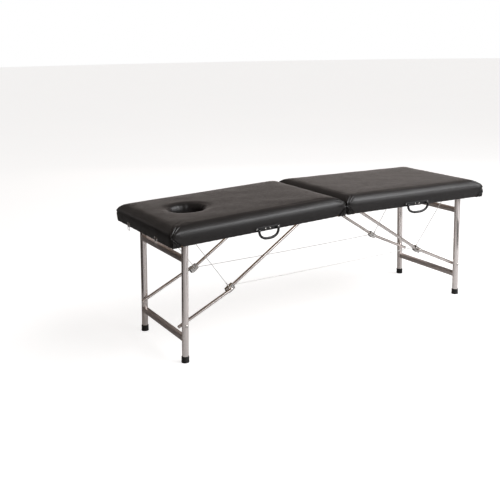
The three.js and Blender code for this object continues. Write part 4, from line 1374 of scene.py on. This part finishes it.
def wramp(fac, stops):
    x = wn.new("ShaderNodeValToRGB")
    els = x.color_ramp.elements
    while len(els) < len(stops):
        els.new(0.5)
    for e, (p_, c_) in zip(els, stops):
        e.position = p_
        e.color = (*c_, 1)
    wl.new(fac, x.inputs["Fac"])
    return x.outputs["Color"]


def wmix(fac, a, b):
    x = wn.new("ShaderNodeMix")
    x.data_type = "RGBA"
    for key, v in ((0, fac), (6, a), (7, b)):
        if isinstance(v, (int, float)):
            x.inputs[key].default_value = v
        elif isinstance(v, tuple):
            x.inputs[key].default_value = (*v, 1)
        else:
            wl.new(v, x.inputs[key])
    return x.outputs[2]


# position: 0 = -X, 0.25 = -Y, 0.5 = +X, 0.75 = +Y
DK, MD, BR_, HI = (0.035, 0.028, 0.026), (0.22, 0.19, 0.18), (0.78, 0.71, 0.68), (1.0, 0.96, 0.94)
walls = wramp(turn, [(0.00, DK), (0.075, DK), (0.085, BR_), (0.135, HI), (0.150, DK), (0.180, DK), (0.195, BR_), (0.255, HI), (0.320, BR_),
                     (0.335, DK), (0.365, DK), (0.385, HI), (0.47, BR_), (0.485, MD), (0.56, MD), (0.60, HI), (0.83, HI), (0.87, MD), (0.91, DK)])
elev = wmath("MULTIPLY", sep.outputs[2], 1.0, True)
band = wramp(elev, [(0.0, (0, 0, 0)), (0.08, (0.0, 0.0, 0.0)), (0.22, (1, 1, 1))])
seen = wmix(band, walls, (0.20, 0.175, 0.16))
lp = wn.new("ShaderNodeLightPath")
mixc = wn.new("ShaderNodeMix")
mixc.data_type = "RGBA"
wl.new(lp.outputs["Is Camera Ray"], mixc.inputs[0])
wl.new(seen, mixc.inputs[6])
mixc.inputs[7].default_value = (1, 1, 1, 1)
wl.new(mixc.outputs[2], bg.inputs["Color"])
bg.inputs["Strength"].default_value = 1.0


def area(name, loc, target, size, power, color=(1, 1, 1)):
    d = bpy.data.lights.new(name, "AREA")
    d.shape = "RECTANGLE"
    d.size, d.size_y = size
    d.energy = power
    d.color = color
    o = bpy.data.objects.new(name, d)
    scene.collection.objects.link(o)
    o.location = loc
    o.rotation_euler = (Vector(target) - Vector(loc)).to_track_quat("-Z", "Y").to_euler()
    return o


area("back_softbox", (2.3, 3.9, 1.35), (0.1, 0, 0.62), (5.0, 1.5), 8.5, (1, 0.84, 0.76))
area("front_key", (2.0, -1.9, 3.6), (0, 0, 0.5), (4.4, 2.0), 190, (0.97, 0.98, 1.0))
area("front_low", (2.0, -3.4, 1.75), (0, 0, 0.55), (4.5, 1.3), 60, (0.97, 0.98, 1.0))


def flag(name, p, q, z0, z1, shade):
    """A standing studio flag that only glossy surfaces see: it gives the steel its dark lines."""
    mt = Tree(name)
    mt.base(mt.ramp(mt.noise(2.0, 2), [(0.3, shade), (0.7, tuple(1.2 * c for c in shade))]))
    mt.set(Roughness=0.9, Specular_IOR_Level=0.0)
    verts = [(p[0], p[1], z0), (q[0], q[1], z0), (q[0], q[1], z1), (p[0], p[1], z1)]
    me_ = bpy.data.meshes.new(name)
    me_.from_pydata(verts, [], [(0, 1, 2, 3)])
    o = bpy.data.objects.new(name, me_)
    scene.collection.objects.link(o)
    me_.materials.append(mt.mat)
    o.visible_camera = o.visible_diffuse = o.visible_shadow = o.visible_transmission = False


DARK = (0.018, 0.014, 0.013)
flag("flag_head_end", (-1.42, -0.25), (-1.42, 1.5), 0.0, 0.9, DARK)
flag("flag_near", (-0.35, -1.05), (1.55, -1.05), 0.0, 0.20, DARK)
flag("flag_far_a", (-0.55, 0.95), (-0.25, 0.95), 0.0, 0.55, DARK)
flag("flag_far_b", (0.35, 0.95), (0.62, 0.95), 0.0, 0.55, DARK)
flag("flag_far_c", (1.30, 0.2), (1.30, 0.55), 0.0, 0.55, DARK)
scene.view_settings.view_transform = "Standard"
scene.view_settings.look = "None"
